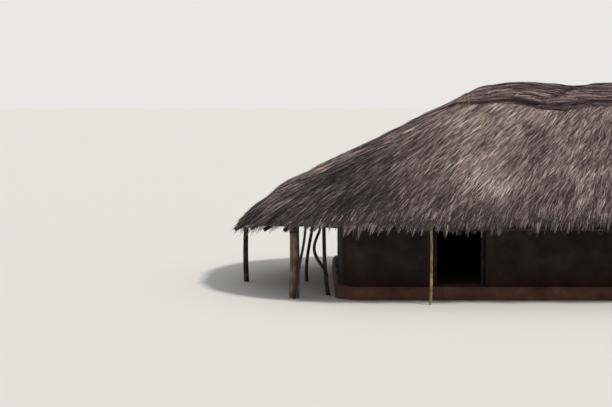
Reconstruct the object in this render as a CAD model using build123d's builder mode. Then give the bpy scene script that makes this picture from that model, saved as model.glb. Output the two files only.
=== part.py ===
"""An oblong mud-walled hut under a big hipped thatch roof, in millimetres.

X runs along the ridge, the doorway side faces -Y, Z is up, and the origin lies on the
ground at the middle of the plan. The roof is a ruled form: level outlines with straight
sides and elliptical corners shrink towards the ridge. Every pole of the roof lies on one
of the straight lines of that form, so rafters seat on the ridge pole, the walls and posts.
"""

import os
from math import atan, cos, hypot, radians, sin

from build123d import *

os.makedirs("parts", exist_ok=True)

# Walls and the earth platform under them
wall_length = 10600
wall_depth = 6000
wall_thickness = 250
wall_corner = 450
wall_batter = 0.7
plinth_height = 280
plinth_ledge = 110
plinth_batter = 5
seat_gap = 0.3

# Doorway in the front wall
door_left = -3350
door_right = -2230
door_height = 1450
lintel_height = 110
lintel_bearing = 250
jamb_radius = 45

# Thatch, measured at its underside and its top
ridge_half = 2110
ridge_flat = 70
underside_top = 4150
eave_half_length = 7550
eave_half_depth = 4300
front_eave_underside = 1560
end_eave_underside = 1380
thatch_top = 4450
front_eave_thickness = 100
corner_start_x = 2060
corner_start_y = 10
corner_spread_x = 0.776
corner_spread_y = 0.200
eave_corner_x = 3600
eave_corner_y = 400
end_profile = ((1200, 7820), (1910, 6980), (2330, 6380))
hip_angle = 40

# Roof poles
rafter_radius = 45
batten_radius = 18
ridge_pole_radius = 70
ridge_post_radius = 80
front_rafter_count = 11
front_rafter_step = 0.181
fan_rafters = ((13, 800), (25.5, 420), (38, 420), (51, 900), (64, 420), (77, 800), (90, 420))
rafter_foot_inset = 120
rafter_top_gap = 5
middle_rafter_tail = 150
middle_rafter_setback = 10
batten_falls = (420, 900, 1400, 1850, 2250, 2520)

# Veranda posts: place along X, and radii at the foot and the top
carried_angle = 38
thick_post_x = 6310
front_post_radii = (112, 104, 100)
leaning_radii = (33, 32, 30, 26)
leaning_height = 1560
forked_post_x = 5685
forked_radii = (50, 44, 40, 38)
branch_radii = (30, 36, 34, 31, 28)
branch_top = 1560
outer_post_x = 7440
inner_post_x = 5820
front_pole_rafter = 5
front_pole_y = 3760
front_pole_radii = (32, 29, 26)

# The crest of thatch laid along the ridge: place along X, top, and depth down each slope
crest_stations = ((2200, 4475, 480), (1250, 4602, 560), (450, 4560, 720), (4, 4500, 640))
crest_edge = 60

front_slope = (underside_top - front_eave_underside) / (eave_half_depth - ridge_flat)
end_slope = (underside_top - end_eave_underside) / (eave_half_length - ridge_half)
outer_slope = (thatch_top - front_eave_underside - front_eave_thickness) / (
    eave_half_depth - ridge_flat
)
front_cos = cos(atan(front_slope))
end_cos = cos(atan(end_slope))
far = 12000


def corner_centre(fall):
    """Give the corner centre of the level outline that lies this far below the top."""
    return corner_start_x + corner_spread_x * fall, corner_start_y + corner_spread_y * fall


def level_face(level, half_length, half_depth, corner_x, corner_y):
    """Draw one level outline of the roof: straight sides joined by elliptical corners."""
    across = half_length - corner_x
    along = half_depth - corner_y
    with BuildSketch(Plane.XY.offset(level)) as face:
        with BuildLine():
            Line((-corner_x, -half_depth), (corner_x, -half_depth))
            EllipticalCenterArc((corner_x, -corner_y), across, along, 270)
            Line((half_length, -corner_y), (half_length, corner_y))
            EllipticalCenterArc((corner_x, corner_y), across, along, 0)
            Line((corner_x, half_depth), (-corner_x, half_depth))
            EllipticalCenterArc((-corner_x, corner_y), across, along, 90)
            Line((-half_length, corner_y), (-half_length, -corner_y))
            EllipticalCenterArc((-corner_x, -corner_y), across, along, 180)
        make_face()
    return face.sketch


def underside_form(drop):
    """Make the space under the roof, lowered by drop, from below ground to the ridge."""
    faces = []
    for level in (-600, underside_top):
        fall = underside_top - level
        half_length = ridge_half + fall / end_slope
        half_depth = ridge_flat + fall / front_slope
        faces.append(level_face(level - drop, half_length, half_depth, *corner_centre(fall)))
    with BuildPart() as form:
        loft(faces, ruled=True)
    return form.part


def outer_form():
    """Make the solid outer shape of the thatch, with a rounder shoulder at both ends."""
    faces = []
    for level, half_length in end_profile + ((thatch_top, ridge_half),):
        fall = thatch_top - level
        half_depth = ridge_flat + fall / outer_slope
        faces.append(level_face(level, half_length, half_depth, *corner_centre(fall)))
    with BuildPart() as form:
        loft(faces, ruled=True)
    return form.part


def fan_point(angle, fall, drop=0):
    """Find the point of a corner's straight line at this angle and fall below the top."""
    centre_x, centre_y = corner_centre(fall)
    across = ridge_half + fall / end_slope - centre_x
    along = ridge_flat + fall / front_slope - centre_y
    x = centre_x + across * cos(radians(angle))
    y = centre_y + along * sin(radians(angle))
    return Vector(x, y, underside_top - fall - drop)


def fan_fall(angle, x):
    """Find how far below the top a corner's straight line reaches this place along X."""
    start = fan_point(angle, 0).X
    per_fall = (fan_point(angle, 1000).X - start) / 1000
    return (x - start) / per_fall


def fan_cos(angle):
    """Find the cosine of the roof's slope beside a corner's straight line."""
    low = fan_point(angle, 2000)
    down = low - fan_point(angle, 1000)
    around = fan_point(min(angle + 1, 90), 2000) - fan_point(max(angle - 1, 0), 2000)
    normal = around.cross(down).normalized()
    return abs(normal.Z)


def side(point, side_x=1, side_y=1):
    """Mirror a point to the wanted side of the hut."""
    return Vector(point.X * side_x, point.Y * side_y, point.Z)


def pole(start, end, radius):
    """Make a straight round pole between two points."""
    with BuildPart() as log:
        with BuildSketch(Plane(origin=start, z_dir=end - start)):
            Circle(radius)
        extrude(amount=(end - start).length)
    return log.part


def grown_pole(points, radii):
    """Make a standing pole that bends and tapers from its foot to its level top."""
    faces = []
    for index, point in enumerate(points):
        ends = index in (0, len(points) - 1)
        bend = points[min(index + 1, len(points) - 1)] - points[max(index - 1, 0)]
        direction = Vector(0, 0, 1) if ends else bend
        with BuildSketch(Plane(origin=point, x_dir=(0, 1, 0), z_dir=direction)) as section:
            Circle(radii[index])
        faces.append(section.sketch)
    with BuildPart() as log:
        loft(faces)
    return log.part


def plan_wedge(corners):
    """Make a tall block over a plan outline, for cutting the thatch and the walls apart."""
    with BuildPart() as block:
        with BuildSketch():
            with BuildLine():
                Polyline(*corners, close=True)
            make_face()
        extrude(amount=6000)
    return block.part


def keep(name, part):
    """Label a finished piece and write its file."""
    part.label = name
    export_step(part, f"parts/{name}.step")


# How far the poles lie under the thatch, and the seat that they leave on the walls
rafter_drop = (2 * batten_radius + rafter_radius + 2 * seat_gap) / front_cos
wall_drop = rafter_drop + (rafter_radius + seat_gap) / front_cos
batten_drop = (batten_radius + seat_gap) / front_cos
middle_drop = wall_drop - (rafter_radius + seat_gap) / end_cos

# Earth platform
plinth_half_length = wall_length / 2 + plinth_ledge
plinth_half_depth = wall_depth / 2 + plinth_ledge
with BuildPart() as plinth:
    with BuildSketch(Plane.XY.offset(plinth_height)):
        RectangleRounded(2 * plinth_half_length, 2 * plinth_half_depth, wall_corner + plinth_ledge)
    extrude(amount=-plinth_height, taper=-plinth_batter)
    with BuildSketch(Plane.XY.offset(plinth_height)):
        RectangleRounded(
            wall_length - 2 * wall_thickness,
            wall_depth - 2 * wall_thickness,
            wall_corner - wall_thickness,
        )
    extrude(amount=-plinth_height, mode=Mode.SUBTRACT)
keep("plinth", plinth.part)

with BuildPart() as floor:
    with BuildSketch():
        RectangleRounded(
            wall_length - 2 * wall_thickness,
            wall_depth - 2 * wall_thickness,
            wall_corner - wall_thickness,
        )
    extrude(amount=plinth_height)
keep("floor", floor.part)

# Mud walls, their top following the underside of the rafters
with BuildPart() as walls:
    with BuildSketch(Plane.XY.offset(plinth_height)):
        RectangleRounded(wall_length, wall_depth, wall_corner)
    extrude(amount=underside_top, taper=wall_batter)
    with BuildSketch(Plane.XY.offset(plinth_height)):
        RectangleRounded(
            wall_length - 2 * wall_thickness,
            wall_depth - 2 * wall_thickness,
            wall_corner - wall_thickness,
        )
    extrude(amount=underside_top, mode=Mode.SUBTRACT)
    add(underside_form(wall_drop), mode=Mode.INTERSECT)

end_wall_x = wall_length / 2 - wall_corner
door_top = plinth_height + door_height
lintel_top = door_top + lintel_height
lintel_left = door_left - lintel_bearing
lintel_right = door_right + lintel_bearing
lintel_middle = (lintel_left + lintel_right) / 2
wall_middle_y = -(wall_depth - wall_thickness) / 2

with BuildPart() as lintel_space:
    with BuildSketch(Plane.XY.offset(door_top)):
        with Locations((lintel_middle, wall_middle_y)):
            Rectangle(lintel_right - lintel_left, 2 * wall_thickness)
    extrude(amount=lintel_height)

with BuildPart() as front_wall_left:
    add(walls.part)
    add(plan_wedge(((-end_wall_x, -far), (door_left, -far), (door_left, 0), (-end_wall_x, 0))),
        mode=Mode.INTERSECT)
    add(lintel_space.part, mode=Mode.SUBTRACT)
keep("front_wall_left", front_wall_left.part)

with BuildPart() as front_wall_right:
    add(walls.part)
    add(plan_wedge(((door_right, -far), (end_wall_x, -far), (end_wall_x, 0), (door_right, 0))),
        mode=Mode.INTERSECT)
    add(lintel_space.part, mode=Mode.SUBTRACT)
keep("front_wall_right", front_wall_right.part)

with BuildPart() as front_wall_over_door:
    add(walls.part)
    add(plan_wedge(((door_left, -far), (door_right, -far), (door_right, 0), (door_left, 0))),
        mode=Mode.INTERSECT)
    split(bisect_by=Plane.XY.offset(lintel_top), keep=Keep.TOP)
keep("front_wall_over_door", front_wall_over_door.part)

with BuildPart() as back_wall:
    add(walls.part)
    add(plan_wedge(((-end_wall_x, 0), (end_wall_x, 0), (end_wall_x, far), (-end_wall_x, far))),
        mode=Mode.INTERSECT)
keep("back_wall", back_wall.part)

with BuildPart() as left_wall:
    add(walls.part)
    split(bisect_by=Plane.YZ.offset(-end_wall_x), keep=Keep.BOTTOM)
keep("left_wall", left_wall.part)

with BuildPart() as right_wall:
    add(walls.part)
    split(bisect_by=Plane.YZ.offset(end_wall_x), keep=Keep.TOP)
keep("right_wall", right_wall.part)

with BuildPart() as door_lintel:
    with BuildSketch(Plane.XY.offset(door_top)):
        with Locations((lintel_middle, wall_middle_y)):
            Rectangle(lintel_right - lintel_left, wall_thickness - 20)
    extrude(amount=lintel_height)
    fillet(door_lintel.edges().filter_by(Axis.X).group_by(Axis.Z)[0], 20)
keep("door_lintel", door_lintel.part)

for name, jamb_x in (("door_jamb_left", door_left + jamb_radius),
                     ("door_jamb_right", door_right - jamb_radius)):
    foot = Vector(jamb_x, wall_middle_y, plinth_height)
    keep(name, pole(foot, foot + Vector(0, 0, door_height), jamb_radius))

# Ridge pole on two posts that stand on the floor
rafter_plane_top = underside_top + ridge_flat * front_slope - rafter_drop
ridge_pole_z = rafter_plane_top - (rafter_radius + ridge_pole_radius + seat_gap) / front_cos
middle_underside = underside_top - middle_drop - (rafter_radius + seat_gap) / end_cos
ridge_pole_half = ridge_half + (middle_underside - ridge_pole_z - ridge_pole_radius) / end_slope
ridge_pole = pole(
    Vector(-ridge_pole_half, 0, ridge_pole_z), Vector(ridge_pole_half, 0, ridge_pole_z),
    ridge_pole_radius,
)
keep("ridge_pole", ridge_pole)

with BuildPart() as ridge_posts:
    for post_x in (-ridge_pole_half + 300, ridge_pole_half - 300):
        foot = Vector(post_x, 0, plinth_height)
        top = Vector(post_x, 0, ridge_pole_z - ridge_pole_radius * 0.4)
        add(pole(foot, top, ridge_post_radius))
    add(pole(Vector(-ridge_pole_half, 0, ridge_pole_z), Vector(ridge_pole_half, 0, ridge_pole_z),
             ridge_pole_radius + seat_gap), mode=Mode.SUBTRACT)
keep("ridge_posts", ridge_posts.part)

# Rafters of the long sides fan out a little from the ridge to the eave
top_inset = rafter_radius * sin(atan(front_slope)) + rafter_top_gap
eave_inset = eave_half_depth - rafter_foot_inset
side_numbers = range(-(front_rafter_count // 2), front_rafter_count // 2 + 1)


def side_rafter_point(share, side_y, y):
    """Find the point of a long side's rafter at this distance from the ridge line."""
    fall = (y - ridge_flat) * front_slope
    x = share * corner_centre(fall)[0]
    return Vector(x, side_y * y, underside_top - fall - rafter_drop)


for name, side_y in (("front_rafters", -1), ("back_rafters", 1)):
    with BuildPart() as rafters:
        for number in side_numbers:
            share = number * front_rafter_step
            top = side_rafter_point(share, side_y, top_inset)
            add(pole(top, side_rafter_point(share, side_y, eave_inset), rafter_radius))
    keep(name, rafters.part)


# Rafters of the ends fan out round the corners, with one on the middle line
def eave_fall(angle):
    """Find the fall at which a corner's straight line comes over the eave's outline."""
    low, high = 1000, 3400
    while high - low > 0.01:
        fall = (low + high) / 2
        point = fan_point(angle, fall)
        out_x = max(point.X - eave_corner_x, 0) / (eave_half_length - eave_corner_x)
        out_y = max(point.Y - eave_corner_y, 0) / (eave_half_depth - eave_corner_y)
        if hypot(out_x, out_y) < 1:
            low = fall
        else:
            high = fall
    return low


def fan_drop(angle):
    """Find how far under the thatch this rafter's centre lies when it seats on the wall."""
    return wall_drop - (rafter_radius + seat_gap) / fan_cos(angle)


def middle_rafter_point(x):
    """Find the point of an end's middle rafter at this place along X."""
    return Vector(x, 0, underside_top - (x - ridge_half) * end_slope - middle_drop)


def end_rafters(side_x):
    """Make all rafters of one end."""
    with BuildPart() as rafters:
        top = side(middle_rafter_point(ridge_pole_half + middle_rafter_setback), side_x)
        tail = side(middle_rafter_point(eave_half_length + middle_rafter_tail), side_x)
        add(pole(top, tail, rafter_radius))
        for side_y in (-1, 1):
            for angle, start in fan_rafters:
                drop = fan_drop(angle)
                top = side(fan_point(angle, start, drop), side_x, side_y)
                end_fall = eave_fall(angle) - rafter_foot_inset * 0.5
                foot = side(fan_point(angle, end_fall, drop), side_x, side_y)
                add(pole(top, foot, rafter_radius))
    return rafters.part


keep("left_rafters", end_rafters(-1))
keep("right_rafters", end_rafters(1))

# Battens of the long sides, straight poles across the rafters
for name, side_y in (("front_battens", -1), ("back_battens", 1)):
    with BuildPart() as battens:
        for fall in batten_falls:
            half = corner_centre(fall)[0]
            y = side_y * (ridge_flat + fall / front_slope)
            level = underside_top - fall - batten_drop
            add(pole(Vector(-half, y, level), Vector(half, y, level), batten_radius))
    keep(name, battens.part)


# Veranda posts stand under the rafters of the ends
def seat_under(here, low, post_radius):
    """Find the top middle of a post under a rafter's centre line, from here to low."""
    line = (low - here).normalized()
    level_run = hypot(line.X, line.Y)
    hang = (rafter_radius - post_radius * line.Z) / level_run + seat_gap
    return Vector(here.X, here.Y, here.Z - hang)


def under_fan_rafter(x, post_radius):
    """Find the top middle of a post that carries a corner rafter at this place along X."""
    fall = fan_fall(carried_angle, x)
    drop = fan_drop(carried_angle)
    here = fan_point(carried_angle, fall, drop)
    return seat_under(here, fan_point(carried_angle, fall + 1000, drop), post_radius)


def under_middle_rafter(x, post_radius):
    """Find the top middle of a post that carries the middle rafter of an end."""
    return seat_under(middle_rafter_point(x), middle_rafter_point(x + 1000), post_radius)


def stood(top, radii, side_x, side_y, *bends):
    """Stand a grown pole under a seat; each bend is a height and an offset in X and Y."""
    points = []
    for height, offset_x, offset_y in bends:
        points.append(Vector(top.X + offset_x, top.Y + offset_y, height))
    points.append(top)
    return grown_pole([side(point, side_x, side_y) for point in points], radii)


def outer_post(side_x, radii, *bends):
    """Stand the post under the tail of an end's middle rafter."""
    return stood(under_middle_rafter(outer_post_x, radii[-1]), radii, side_x, 1, *bends)


def inner_post(side_x, radii, *bends):
    """Stand the thin post under the same rafter, nearer the wall."""
    return stood(under_middle_rafter(inner_post_x, radii[-1]), radii, side_x, 1, *bends)


def thick_post(side_x, side_y, radii, *bends):
    """Stand a thick post under the rafter of a corner."""
    return stood(under_fan_rafter(thick_post_x, radii[-1]), radii, side_x, side_y, *bends)


keep("left_outer_post", outer_post(-1, (60, 58, 52), (0, -6, 10), (650, 12, 4)))
keep("right_outer_post", outer_post(1, (62, 55, 52), (0, 10, -14), (700, -8, 6)))
keep("left_inner_post", inner_post(-1, (38, 36, 34, 32), (0, 220, 0), (700, 190, 8), (1250, 90, -6)))
keep("right_inner_post", inner_post(1, (40, 36, 34, 32), (0, 150, 4), (750, 60, -8), (1300, 70, 6)))
keep("left_front_post", thick_post(-1, -1, front_post_radii, (0, 4, 0), (800, -6, 4)))
keep("left_back_post", thick_post(-1, 1, (95, 90, 84), (0, -8, 6), (800, 8, 0)))
keep("right_front_post", thick_post(1, -1, (108, 102, 96), (0, 6, -8), (750, -10, 4)))
keep("right_back_post", thick_post(1, 1, (98, 90, 86), (0, 0, 8), (800, 12, 6)))


def forked_post(side_x, side_y, lean):
    """Make the post that forks low down into a straight stem and a crooked branch."""
    top = under_fan_rafter(forked_post_x, forked_radii[-1])
    stem = stood(top, forked_radii, side_x, side_y,
                 (0, -110 * lean, 0), (400, -55 * lean, 0), (1400, -14 * lean, 0))
    branch = stood(Vector(top.X + 70, top.Y + 10, branch_top), branch_radii, side_x, side_y,
                   (330, -130, -10), (667, -26, -16), (1054, 126, -24), (1356, 32, -18))
    with BuildPart() as post:
        add(stem)
        add(branch)
    return post.part


keep("left_forked_post", forked_post(-1, -1, 1))
keep("right_forked_post", forked_post(1, -1, 0.7))

# A crooked pole leans on the foot of the thick post
thick_top = under_fan_rafter(thick_post_x, front_post_radii[-1])
lean_x = -thick_top.X - 4
lean_y = -(thick_top.Y + front_post_radii[0] + leaning_radii[0] + seat_gap)
leaning_points = [
    Vector(lean_x, lean_y, 0), Vector(lean_x + 68, lean_y - 2, 520),
    Vector(lean_x + 168, lean_y + 18, 990), Vector(lean_x + 241, lean_y + 28, leaning_height),
]
keep("leaning_pole", grown_pole(leaning_points, leaning_radii))

# A thin pole stands under a rafter of the front eave
pole_share = -front_pole_rafter * front_rafter_step
front_pole_top = seat_under(
    side_rafter_point(pole_share, -1, front_pole_y),
    side_rafter_point(pole_share, -1, eave_half_depth),
    front_pole_radii[-1],
)
front_pole_points = [
    Vector(front_pole_top.X - 8, front_pole_top.Y, 0),
    Vector(front_pole_top.X + 12, front_pole_top.Y, 820),
    front_pole_top,
]
keep("front_pole", grown_pole(front_pole_points, front_pole_radii))

# Thatch, trimmed to the eave's outline and parted along the hips
with BuildPart() as eave_block:
    add(level_face(0, eave_half_length, eave_half_depth, eave_corner_x, eave_corner_y))
    extrude(amount=6000)

hip_x = far * cos(radians(hip_angle))
hip_y = far * sin(radians(hip_angle))


def thatch_field(name, corners):
    """Keep one field of the thatch over its plan outline."""
    with BuildPart() as field:
        add(outer_form())
        add(eave_block.part, mode=Mode.INTERSECT)
        add(plan_wedge(corners), mode=Mode.INTERSECT)
        add(underside_form(0), mode=Mode.SUBTRACT)
    keep(name, field.part)


for side_name, side_y in (("front", -1), ("back", 1)):
    thatch_field(f"thatch_{side_name}_middle", (
        (-ridge_half, 0), (ridge_half, 0), (ridge_half, side_y * far), (-ridge_half, side_y * far)))
    for end_name, side_x in (("left", -1), ("right", 1)):
        thatch_field(f"thatch_{side_name}_{end_name}", (
            (side_x * ridge_half, 0), (side_x * ridge_half, side_y * far),
            (side_x * (ridge_half + hip_x), side_y * far),
            (side_x * (ridge_half + hip_x), side_y * hip_y)))
for end_name, side_x in (("left", -1), ("right", 1)):
    thatch_field(f"thatch_{end_name}_end", (
        (side_x * ridge_half, 0), (side_x * (ridge_half + hip_x), -hip_y),
        (side_x * (ridge_half + hip_x), hip_y)))


# Crest of thatch along the ridge, in two humped bundles that meet in the middle
def crest_face(x, top, reach):
    """Draw the crest's section, a bent blanket over the ridge."""
    seat = thatch_top + seat_gap / front_cos
    foot = seat - (reach - ridge_flat) * outer_slope
    rise = top - seat
    shoulder = reach / 2
    shoulder_z = seat - (shoulder - ridge_flat) * outer_slope + (rise + crest_edge) / 2
    with BuildSketch(Plane(origin=(x, 0, 0), x_dir=(0, 1, 0), z_dir=(1, 0, 0))) as face:
        with BuildLine():
            Line((-ridge_flat, seat), (ridge_flat, seat))
            Line((ridge_flat, seat), (reach, foot))
            Line((reach, foot), (reach, foot + crest_edge))
            Spline((reach, foot + crest_edge), (shoulder, shoulder_z), (0, top),
                   (-shoulder, shoulder_z), (-reach, foot + crest_edge))
            Line((-reach, foot + crest_edge), (-reach, foot))
            Line((-reach, foot), (-ridge_flat, seat))
        make_face()
    return face.sketch


for name, side_x in (("crest_left", -1), ("crest_right", 1)):
    with BuildPart() as crest:
        loft([crest_face(side_x * x, top, reach) for x, top, reach in crest_stations])
    keep(name, crest.part)
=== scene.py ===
"""An oblong hut with mud walls under a big hipped roof of long grass.

The frame gives the walls, poles and the plain forms of the thatch. This script lays the
grass over those forms, hangs the shaggy fringe along the eave, ties the poles and gives
every surface its finish.
"""

import math

import bmesh
import bpy
import numpy as np
from bpy.props import FloatProperty, FloatVectorProperty, PointerProperty
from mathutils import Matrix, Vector, noise
from mathutils.bvhtree import BVHTree


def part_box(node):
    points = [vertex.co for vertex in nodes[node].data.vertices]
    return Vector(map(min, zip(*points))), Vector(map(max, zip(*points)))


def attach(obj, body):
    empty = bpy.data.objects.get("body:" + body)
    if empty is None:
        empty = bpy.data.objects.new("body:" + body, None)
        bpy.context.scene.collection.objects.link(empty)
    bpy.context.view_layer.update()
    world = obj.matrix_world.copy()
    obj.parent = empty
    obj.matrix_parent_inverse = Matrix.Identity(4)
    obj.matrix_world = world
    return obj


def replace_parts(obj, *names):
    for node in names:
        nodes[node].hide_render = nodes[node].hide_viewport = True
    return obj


bl_info = {
    "name": "Thatched Hut",
    "version": (1, 0, 0),
    "blender": (4, 5, 0),
    "location": "3D View > Sidebar > Hut",
    "description": "Dresses an oblong mud hut with grass thatch, bark poles and plaster",
    "category": "Object",
}

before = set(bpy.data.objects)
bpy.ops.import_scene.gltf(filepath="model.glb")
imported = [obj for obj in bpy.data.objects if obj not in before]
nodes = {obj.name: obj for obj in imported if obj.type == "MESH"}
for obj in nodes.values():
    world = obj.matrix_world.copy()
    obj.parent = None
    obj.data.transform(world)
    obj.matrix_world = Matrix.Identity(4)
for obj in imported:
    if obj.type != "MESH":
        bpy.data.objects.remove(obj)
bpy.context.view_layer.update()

THATCH_NODES = [name for name in nodes if name.startswith("thatch_")]
CREST_NODES = [name for name in nodes if name.startswith("crest_")]
WALL_NODES = [name for name in nodes if "wall" in name]

# What one step leaves for the next: the roof's form, skins, trees and finishes by name
shared = {}


def node_object(name):
    """Give the Blender object that carries a node."""
    found = nodes[name]
    return bpy.data.objects[found] if isinstance(found, str) else found


def linear(hex_colour):
    """Turn an sRGB hex colour into the linear red, green and blue that shaders take."""
    values = []
    for start in (0, 2, 4):
        part = int(hex_colour[start:start + 2], 16) / 255
        values.append(part / 12.92 if part <= 0.04045 else ((part + 0.055) / 1.055) ** 2.4)
    return tuple(values)


def add_node(tree, kind, links=None, stops=(), **settings):
    """Add a node, set its properties, and set or link its sockets.

    A source is a value, a socket, or a node that stands for its first output. The stops of
    a colour ramp are places with hex colours.
    """
    node = tree.nodes.new(kind)
    for key, value in settings.items():
        setattr(node, key, value)
    for socket, source in (links or {}).items():
        if isinstance(source, bpy.types.Node):
            source = source.outputs[0]
        if isinstance(source, bpy.types.NodeSocket):
            tree.links.new(source, node.inputs[socket])
        else:
            node.inputs[socket].default_value = source
    if stops:
        elements = node.color_ramp.elements
        while len(elements) < len(stops):
            elements.new(0.5)
        for element, (position, hex_colour) in zip(elements, stops):
            element.position = position
            element.color = (*linear(hex_colour), 1)
    return node


def new_material(name, tint, roughness=0.9):
    """Start a dull node material with a tint laid over its colour.

    It is given with its tree, its shader's inputs and the socket that takes its colour.
    """
    material = bpy.data.materials.new(name)
    material.use_nodes = True
    tree = material.node_tree
    inputs = tree.nodes["Principled BSDF"].inputs
    inputs["Specular IOR Level"].default_value = 0.2
    inputs["Roughness"].default_value = roughness
    tinted = add_node(tree, "ShaderNodeMix", {0: 1.0, 6: (1, 1, 1, 1), 7: (*tint, 1)},
                      data_type="RGBA", blend_type="MULTIPLY")
    tree.links.new(tinted.outputs[2], inputs["Base Color"])
    return material, tree, inputs, tinted.inputs[6]


def grass_material(name, tint, stops, patch_stops):
    """Make weathered thatching grass whose stalks carry a shade of their own.

    Dry stalks keep a faint sheen of wax, so they are a little less dull than the rest.
    """
    material, tree, _, paint = new_material(name, tint, roughness=0.78)
    shade = add_node(tree, "ShaderNodeAttribute", attribute_name="shade").outputs["Fac"]
    stalk = add_node(tree, "ShaderNodeValToRGB", {"Fac": shade}, stops)
    place = add_node(tree, "ShaderNodeTexCoord").outputs["Object"]
    # Patches of rain-dark and sun-bleached grass, one to two metres across
    wide = add_node(tree, "ShaderNodeMapping", {"Vector": place, "Scale": (0.55, 0.55, 0.9)})
    patch = add_node(tree, "ShaderNodeTexNoise", {"Vector": wide, "Scale": 1.0, "Detail": 3.0})
    tone = add_node(tree, "ShaderNodeValToRGB", {"Fac": patch}, patch_stops)
    colour = add_node(tree, "ShaderNodeMix", {0: 1.0, 6: stalk, 7: tone},
                      data_type="RGBA", blend_type="MULTIPLY")
    tree.links.new(colour.outputs[2], paint)
    return material


def coat_material(name, tint, stops):
    """Make packed grass for the body of the thatch, streaked along the laid stalks, in dark
    colours that paint the shade between them.
    """
    material, tree, inputs, paint = new_material(name, tint)
    landing = add_node(tree, "ShaderNodeAttribute", attribute_name="landing").outputs["Vector"]
    # Bunches of stalks lie about 20 mm apart and run for half a metre. Single stalks are
    # 3 mm thick, which is too fine to show, so a bunch is drawn as one
    drawn = add_node(tree, "ShaderNodeMapping", {"Vector": landing, "Scale": (50, 50, 2)})
    streak = add_node(tree, "ShaderNodeTexNoise", {
        "Vector": drawn, "Scale": 1.0, "Detail": 4.0, "Roughness": 0.6})
    # Its dark colours are painted shade between the loose stalks
    colour = add_node(tree, "ShaderNodeValToRGB", {"Fac": streak}, stops)
    relief = add_node(tree, "ShaderNodeBump", {
        "Height": streak, "Distance": 0.02, "Strength": 1.0})
    tree.links.new(colour.outputs[0], paint)
    tree.links.new(relief.outputs[0], inputs["Normal"])
    return material


# How far the edge between clean mud and its stains and painted shade wanders up and down, and its
# middle
STAIN_AND_SHADE_WANDER = 0.45
STAIN_AND_SHADE_MIDDLE = 0.22


def mud_material(name, tint, stops, crack_scale, height_range, foot_hex, top_hex):
    """Make hand-smeared mud: blotched, finely cracked, red at the foot, and tinted towards its
    top, on the walls by smoke and painted shade.
    """
    material, tree, inputs, paint = new_material(name, tint)
    place = add_node(tree, "ShaderNodeTexCoord").outputs["Object"]
    # Each batch of mud dries to its own shade, in blotches of about 0.6 m
    blotch = add_node(tree, "ShaderNodeTexNoise", {
        "Vector": place, "Scale": 1.7, "Detail": 6.0, "Roughness": 0.62})
    base = add_node(tree, "ShaderNodeValToRGB", {"Fac": blotch}, stops)
    # Earth splashed red at the foot; towards the top it takes top_hex, which on the walls is
    # smoke with painted shade under the eave
    height = add_node(tree, "ShaderNodeSeparateXYZ", {"Vector": place}).outputs["Z"]
    tall = add_node(tree, "ShaderNodeMapping", {"Vector": place, "Scale": (2.2, 2.2, 0.6)})
    wander = add_node(tree, "ShaderNodeTexNoise", {"Vector": tall, "Scale": 1.0, "Detail": 4.0})
    wavy = add_node(tree, "ShaderNodeMath", {0: wander, 1: STAIN_AND_SHADE_WANDER, 2: height},
                    operation="MULTIPLY_ADD")
    rise = add_node(tree, "ShaderNodeMapRange", {
        "Value": wavy, "From Min": height_range[0] + STAIN_AND_SHADE_MIDDLE,
        "From Max": height_range[1] + STAIN_AND_SHADE_MIDDLE})
    stain_and_shade = add_node(tree, "ShaderNodeValToRGB", {"Fac": rise}, (
        (0.0, foot_hex), (0.35, "ffffff"), (0.65, "f4eee8"), (1.0, top_hex)))
    stained_and_shaded = add_node(tree, "ShaderNodeMix", {0: 1.0, 6: base, 7: stain_and_shade},
                       data_type="RGBA", blend_type="MULTIPLY").outputs[2]
    # Hair cracks where the plaster shrank, bent and only in some places
    astray = add_node(tree, "ShaderNodeTexNoise", {"Vector": place, "Scale": 6.0, "Detail": 4.0})
    bent = add_node(tree, "ShaderNodeVectorMath", {
        0: astray.outputs["Color"], 1: (0.22, 0.22, 0.22), 2: place}, operation="MULTIPLY_ADD")
    crack = add_node(tree, "ShaderNodeTexVoronoi", {
        "Vector": bent, "Scale": crack_scale}, feature="DISTANCE_TO_EDGE").outputs["Distance"]
    line = add_node(tree, "ShaderNodeMapRange", {"Value": crack, "From Max": 0.014})
    dark = add_node(tree, "ShaderNodeValToRGB", {"Fac": line}, ((0.0, "b5aba4"), (1.0, "ffffff")))
    cracked = add_node(tree, "ShaderNodeMix", {0: 1.0, 6: stained_and_shaded, 7: dark},
                       data_type="RGBA", blend_type="MULTIPLY").outputs[2]
    broken = add_node(tree, "ShaderNodeMapRange", {
        "Value": wander, "From Min": 0.54, "From Max": 0.66})
    colour = add_node(tree, "ShaderNodeMix", {0: broken, 6: stained_and_shaded, 7: cracked},
                      data_type="RGBA", blend_type="MIX")
    # Smears of a hand, about 110 mm wide and 45 mm high, with chopped straw in them
    hand = add_node(tree, "ShaderNodeMapping", {"Vector": place, "Scale": (9, 9, 22)})
    smears = add_node(tree, "ShaderNodeTexNoise", {"Vector": hand, "Scale": 1.0, "Detail": 5.0})
    relief = add_node(tree, "ShaderNodeBump", {
        "Height": smears, "Distance": 0.008, "Strength": 1.0})
    tree.links.new(colour.outputs[2], paint)
    tree.links.new(relief.outputs[0], inputs["Normal"])
    return material


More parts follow.
